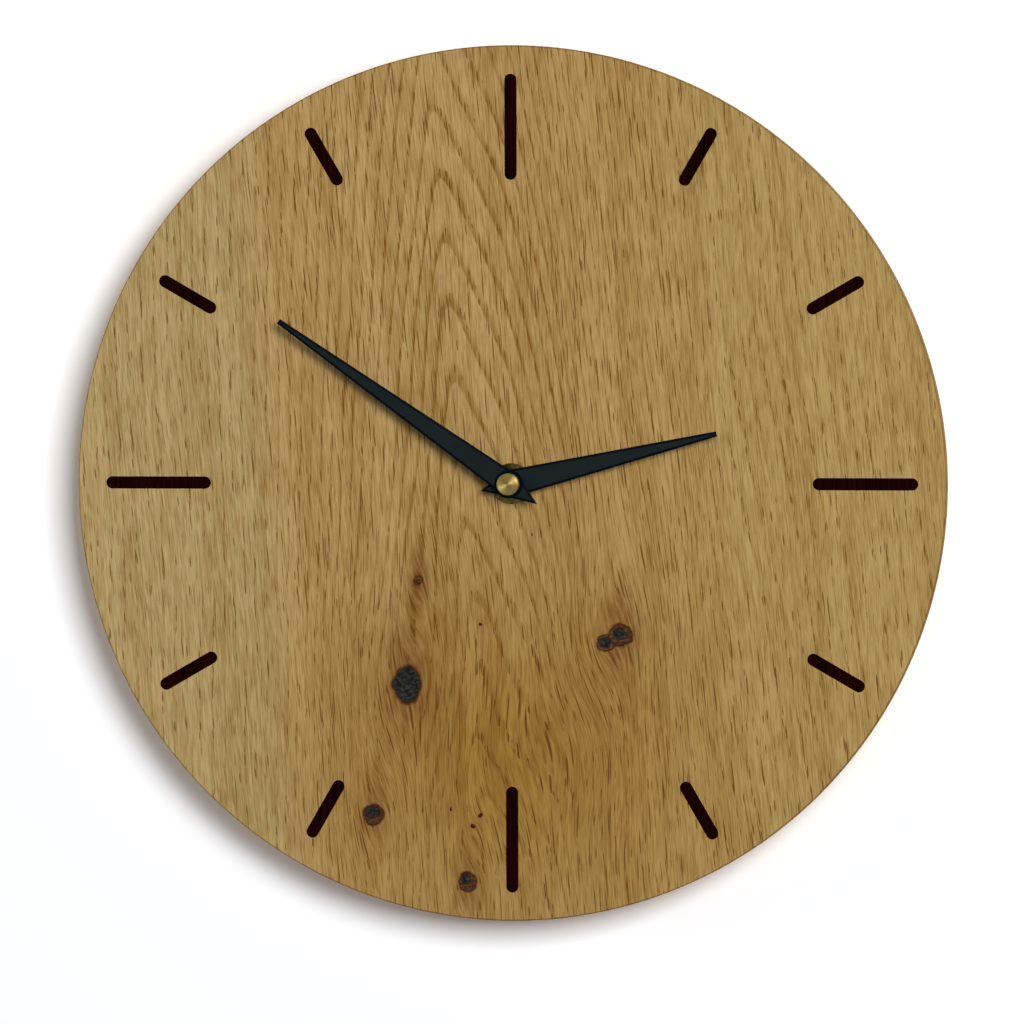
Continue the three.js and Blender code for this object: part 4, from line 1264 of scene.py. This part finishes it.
@dataclass
class CentreFittings:
    """The cap nut, the washer, the hex nut, the bushing and the gasket. Sizes in mm."""

    bore: float = 4.3
    cap_bevel: float = 0.45
    cap_rise: float = 0.25
    cap_cone: float = 0.35
    cap_edge: float = 0.08
    nut_flats: float = 11.0
    nut_turn: float = 13.0  # degrees
    nut_edge: float = 0.2
    pipe_bore: float = 2.7
    thread_gap: float = 0.3
    thread_edge: float = 0.3
    flange: float = 5.2
    flange_height: float = 0.4

    def cap_nut(self) -> Object:
        """Turns the closed nut: a plain side, a bevelled rim and a slightly conical face."""
        back, front = heights("hand_cap_nut")
        rim = front - self.cap_cone
        nut = turned_blank("cap_nut", spread("hand_cap_nut"), back, rim - self.cap_rise, sides=128)
        with editing(nut):
            pick(nut, lambda place: place.y < -(rim - self.cap_rise - NEAR) * MM)
            bpy.ops.mesh.inset(thickness=self.cap_bevel * MM)
            bpy.ops.transform.translate(value=FRONTWARDS * self.cap_rise * MM)
            bpy.ops.mesh.poke(offset=self.cap_cone * MM)
        rounded(nut, self.cap_edge)
        return dressed(nut, Slot.BRIGHT_BRASS, Body.MINUTE, "hand_cap_nut", smooth=25)

    def ring(self, node: str, name: str, slot: Slot, edge: float) -> Object:
        """Turns the flat washer on the dial's face, or cuts the rubber ring behind the board.

        Args:
            node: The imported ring.
            name: The new piece's name.
            slot: The record's slot whose finish it takes.
            edge: How far its edges are rounded.

        Returns:
            The ring.
        """
        back, front = heights(node)
        ring = turned_blank(name, spread(node), back, front)
        bored(ring, self.bore, back, front)
        rounded(ring, edge)
        return dressed(ring, slot, Body.CLOCK, node)

    def hex_nut(self) -> Object:
        """Shapes the nut: a hexagon whose corners are turned off at 30 degrees."""
        back, front = heights("dial_hex_nut")
        corner = self.nut_flats / math.sqrt(3)
        inset = corner - self.nut_flats / 2
        drop = inset * math.tan(math.radians(30))
        nut = turned_blank("hex_nut", corner, back, front, sides=6)
        turned = turned_blank("turned_corners", corner, back + drop, front - drop)
        with editing(turned):
            for side, height in ((-1, front - drop), (1, back + drop)):
                pick(turned, lambda place: abs(place.y + height * MM) < NEAR * MM)
                bpy.ops.mesh.inset(thickness=inset * MM)
                bpy.ops.transform.translate(value=(0, side * drop * MM, 0))
        nut.rotation_euler = (0, math.radians(180 + self.nut_turn), 0)
        settle(nut)
        carved(nut, turned, Cut.SHARED)
        bored(nut, self.bore, back, front)
        rounded(nut, self.nut_edge)
        return dressed(nut, Slot.DULL_BRASS, Body.CLOCK, "dial_hex_nut")

    def bushing(self) -> Object:
        """Turns the threaded bushing with the flange inside the case."""
        back, front = heights("threaded_bushing")
        tube = turned_blank("bushing", self.bore - self.thread_gap, back, front)
        rounded(tube, self.thread_edge)
        flange = turned_blank("flange", self.flange, back, back + self.flange_height)
        carved(tube, flange, Cut.JOINED)
        bored(tube, self.pipe_bore, back, front)
        return dressed(tube, Slot.DULL_BRASS, Body.CLOCK, "threaded_bushing")

    def build(self) -> None:
        """Builds all the fittings."""
        self.cap_nut()
        self.ring("dial_washer", "face_washer", Slot.DULL_BRASS, edge=0.15)
        self.hex_nut()
        self.bushing()
        self.ring("rubber_gasket", "gasket", Slot.GASKET, edge=0.12)


@dataclass
class Movement:
    """The case, its cover, the setting knob, the hanger and the cell. Sizes in mm."""

    case_edge: float = 0.3
    cover_edge: float = 0.25
    knob_edge: float = 0.12
    hanger_edge: float = 0.15
    bend: float = 0.9
    bend_length: float = 15.0  # only the two bends have edges that run across for more than this
    cell_edge: float = 0.9
    nub_radius: float = 2.75
    nub_height: float = 1.2
    nub_edge: float = 0.35
    arrow_radius: float = 7.4
    arrow_width: float = 0.7
    arrow_span: float = 11.0
    arrow_depth: float = 0.3
    arrow_head: float = 1.4

    def softened(self, node: str, name: str, edge: float) -> Object:
        """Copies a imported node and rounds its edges.

        Args:
            node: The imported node.
            name: The new piece's name.
            edge: How far its edges are rounded.

        Returns:
            The new piece.
        """
        piece = copied(node, name)
        rounded(piece, edge)
        return piece

    def arrow(self) -> Object:
        """Makes the cutter of the arrow that runs over the setting knob."""
        low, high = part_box("setting_knob")
        middle = (low + high) / 2 / MM
        centre = (middle.x, middle.z)
        outer = self.arrow_radius + self.arrow_width / 2
        # The blanks reach a millimetre or more past what they cut
        arrow = turned_blank("arrow", outer, -1, self.arrow_depth, centre)
        carved(arrow, turned_blank("inner", outer - self.arrow_width, -2, 2, centre))
        span = block((middle.x, 0, middle.z + outer), (self.arrow_span, 5, outer))
        carved(arrow, span, Cut.SHARED)
        aside = self.arrow_span / 2
        above = math.sqrt(self.arrow_radius**2 - aside**2)
        bpy.ops.mesh.primitive_cylinder_add(
            vertices=3,
            radius=self.arrow_head * MM,
            depth=(1 + self.arrow_depth) * MM,
            location=((middle.x - aside) * MM, (1 - self.arrow_depth) / 2 * MM, (middle.z + above) * MM),
            rotation=(math.pi / 2, math.atan2(above, -aside), 0),
        )
        return carved(arrow, bpy.context.object, Cut.JOINED)

    def hanger(self) -> Object:
        """Copies the hanger, rounds its two bends and its edges."""
        hanger = copied("wall_hanger", "hanger_strip")
        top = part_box("front_case")[1].z
        with editing(hanger, Part.EDGE):
            mesh = bmesh.from_edit_mesh(hanger.data)
            for edge in mesh.edges:
                first, second = (vert.co for vert in edge.verts)
                across = abs(first.x - second.x) > self.bend_length * MM
                edge.select_set(across and -MM < first.z - top < 3 * MM)
            bmesh.update_edit_mesh(hanger.data)
            bpy.ops.mesh.bevel(offset=self.bend * MM, segments=5, affect="EDGES")
        rounded(hanger, self.hanger_edge)
        return dressed(hanger, Slot.HANGER, Body.CLOCK, "wall_hanger")

    def cell(self) -> Object:
        """Turns the cell: a rolled can with a nub at its plus end, laid along x."""
        low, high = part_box("battery_cell")
        radius = (high.z - low.z) / 2 / MM
        length = (high.x - low.x) / MM
        cell = turned_blank("cell", radius, self.nub_height - length, 0)
        rounded(cell, self.cell_edge, segments=4)
        into_can = 2 - length
        nub = turned_blank("nub", self.nub_radius, -length, into_can)
        rounded(nub, self.nub_edge, segments=3)
        carved(cell, nub, Cut.JOINED)
        cell.rotation_euler = (0, 0, -math.pi / 2)
        middle = (low + high) / 2
        cell.location = (low.x, middle.y, middle.z)
        return dressed(cell, Slot.CELL, Body.CLOCK, "battery_cell")

    def build(self) -> None:
        """Builds the movement's outside."""
        shell = self.softened("front_case", "case_shell", self.case_edge)
        cover = self.softened("rear_cover", "case_cover", self.cover_edge)
        carved(cover, self.arrow(), manifold=True)
        knob = self.softened("setting_knob", "knob", self.knob_edge)
        dressed(shell, Slot.CASE, Body.CLOCK, "front_case")
        dressed(cover, Slot.CASE, Body.CLOCK, "rear_cover")
        dressed(knob, Slot.CASE, Body.SETTER, "setting_knob")
        self.hanger()
        self.cell()


class InnerWorks:
    """The wheels, the motor and the electronics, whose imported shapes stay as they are."""

    def build(self) -> None:
        """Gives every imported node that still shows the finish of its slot."""
        slots = {part["node"]: part["material_slot"] for part in frame["record"]["subparts"]}
        for name, node in frame["nodes"].items():
            if node.hide_render:
                continue
            node.data.materials.clear()
            node.data.materials.append(FINISH_OF[Slot(slots[name])]().material())
            log.info("%s keeps its packed shape", name)


# Studio


@dataclass(frozen=True)
class Lamp:
    """A square soft light that points at the dial: its place and side in metres, its power in watts."""

    name: str
    place: tuple[float, float, float]
    size: float
    power: float

    def build(self) -> None:
        """Adds the light."""
        light = bpy.data.lights.new(self.name, "AREA")
        light.shape = "SQUARE"
        light.size = self.size
        light.energy = self.power
        lamp = bpy.data.objects.new(self.name, light)
        bpy.context.scene.collection.objects.link(lamp)
        lamp.location = self.place
        lamp.rotation_mode = "QUATERNION"
        lamp.rotation_quaternion = (-Vector(self.place)).to_track_quat("-Z", "Y")


LAMPS = (
    Lamp("key", (2.2, -5.3, 1.3), 2.4, 332.0),
    Lamp("fill", (-2.6, -1.2, 0.5), 1.2, 9.0),
    Lamp("back_right", (1.3, 1.6, 1.2), 1.2, 30.0),
    Lamp("back_left", (-1.5, 1.4, 0.4), 1.2, 30.0),
)


@dataclass
class Studio:
    """The wall behind the clock, the room's light and the camera. In metres and degrees."""

    wall_size: float = 3.0
    wall_gap: float = 0.0005
    wall_paint: str = "#fdfdfd"
    camera_distance: float = 8.0
    camera_side: float = 7.75
    camera_height: float = 2.2
    camera_roll: float = -0.14
    view_height: float = 0.3507
    aim: tuple[float, float, float] = (0.0002, -0.0223, -0.0098)
    sensor: float = 36.0  # mm
    room: float = 0.22
    room_colour: str = "#dde9ff"

    def wall(self) -> None:
        """Adds the pale wall, which shows from the front only and holds the clock's shadow."""
        bpy.ops.object.select_all(action="DESELECT")
        bpy.ops.mesh.primitive_plane_add(
            size=self.wall_size, location=(0, self.wall_gap, 0), rotation=(math.pi / 2, 0, 0)
        )
        wall = settle(bpy.context.object)
        wall.name = "wall"
        recipe = Recipe("WallPaint")
        add = recipe.add
        paint = add("BsdfDiffuse", self.wall_paint)
        light_path = add("LightPath")
        behind = add("NewGeometry").outputs["Backfacing"]
        open_side = add("Math", behind, light_path.outputs["Is Shadow Ray"], operation="MAXIMUM")
        clear = add("BsdfTransparent")
        surface = add("MixShader", open_side, paint, clear)
        add("OutputMaterial", surface)
        wall.data.materials.append(recipe.material)
        wall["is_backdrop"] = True

    def room_light(self) -> None:
        """Adds the room's dim bluish light, which the camera and the gloss see as plain white."""
        world = bpy.data.worlds.new("room")
        bpy.context.scene.world = world
        add = Layout(world).add
        path = add("LightPath")
        seen = path.outputs["Is Camera Ray"]
        for ray in ("Is Glossy Ray", "Is Transmission Ray"):
            seen = add("Math", seen, path.outputs[ray], operation="MAXIMUM")
        strength = add("MapRange", seen, 0, 1, self.room, 1)
        tint = add("MixRGB", seen, self.room_colour, grey(1))
        background = add("Background", tint, strength)
        add("OutputWorld", background)

    def camera(self) -> None:
        """Adds the camera at the photograph's angle, with a long lens."""
        side, height = math.radians(self.camera_side), math.radians(self.camera_height)
        level = Vector((math.sin(side), -math.cos(side), 0))
        back = level * math.cos(height) + Vector((0, 0, math.sin(height)))
        camera = bpy.data.cameras.new("camera")
        camera.sensor_width = self.sensor
        camera.lens = self.sensor * self.camera_distance / self.view_height
        camera.clip_end = 100
        stand = bpy.data.objects.new("camera", camera)
        bpy.context.scene.collection.objects.link(stand)
        stand.location = Vector(self.aim) + back * self.camera_distance
        stand.rotation_mode = "QUATERNION"
        roll = Quaternion((0, 0, 1), math.radians(self.camera_roll))
        stand.rotation_quaternion = (-back).to_track_quat("-Z", "Y") @ roll
        bpy.context.scene.camera = stand

    def build(self) -> None:
        """Sets up the studio."""
        bpy.context.scene.view_settings.view_transform = "Standard"
        self.wall()
        for lamp in LAMPS:
            lamp.build()
        self.room_light()
        self.camera()


def main() -> None:
    """Builds the clock and the studio."""
    logging.basicConfig(level=logging.INFO, format="%(name)s: %(message)s")
    Dial().build()
    for hand in HANDS:
        hand.build()
    CentreFittings().build()
    Movement().build()
    InnerWorks().build()
    Studio().build()
    boxes = {"cad": CAD_BOX, "dressed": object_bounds()}
    {name: [list(corner) for corner in box] for name, box in boxes.items()}


if __name__ == "__main__":
    main()
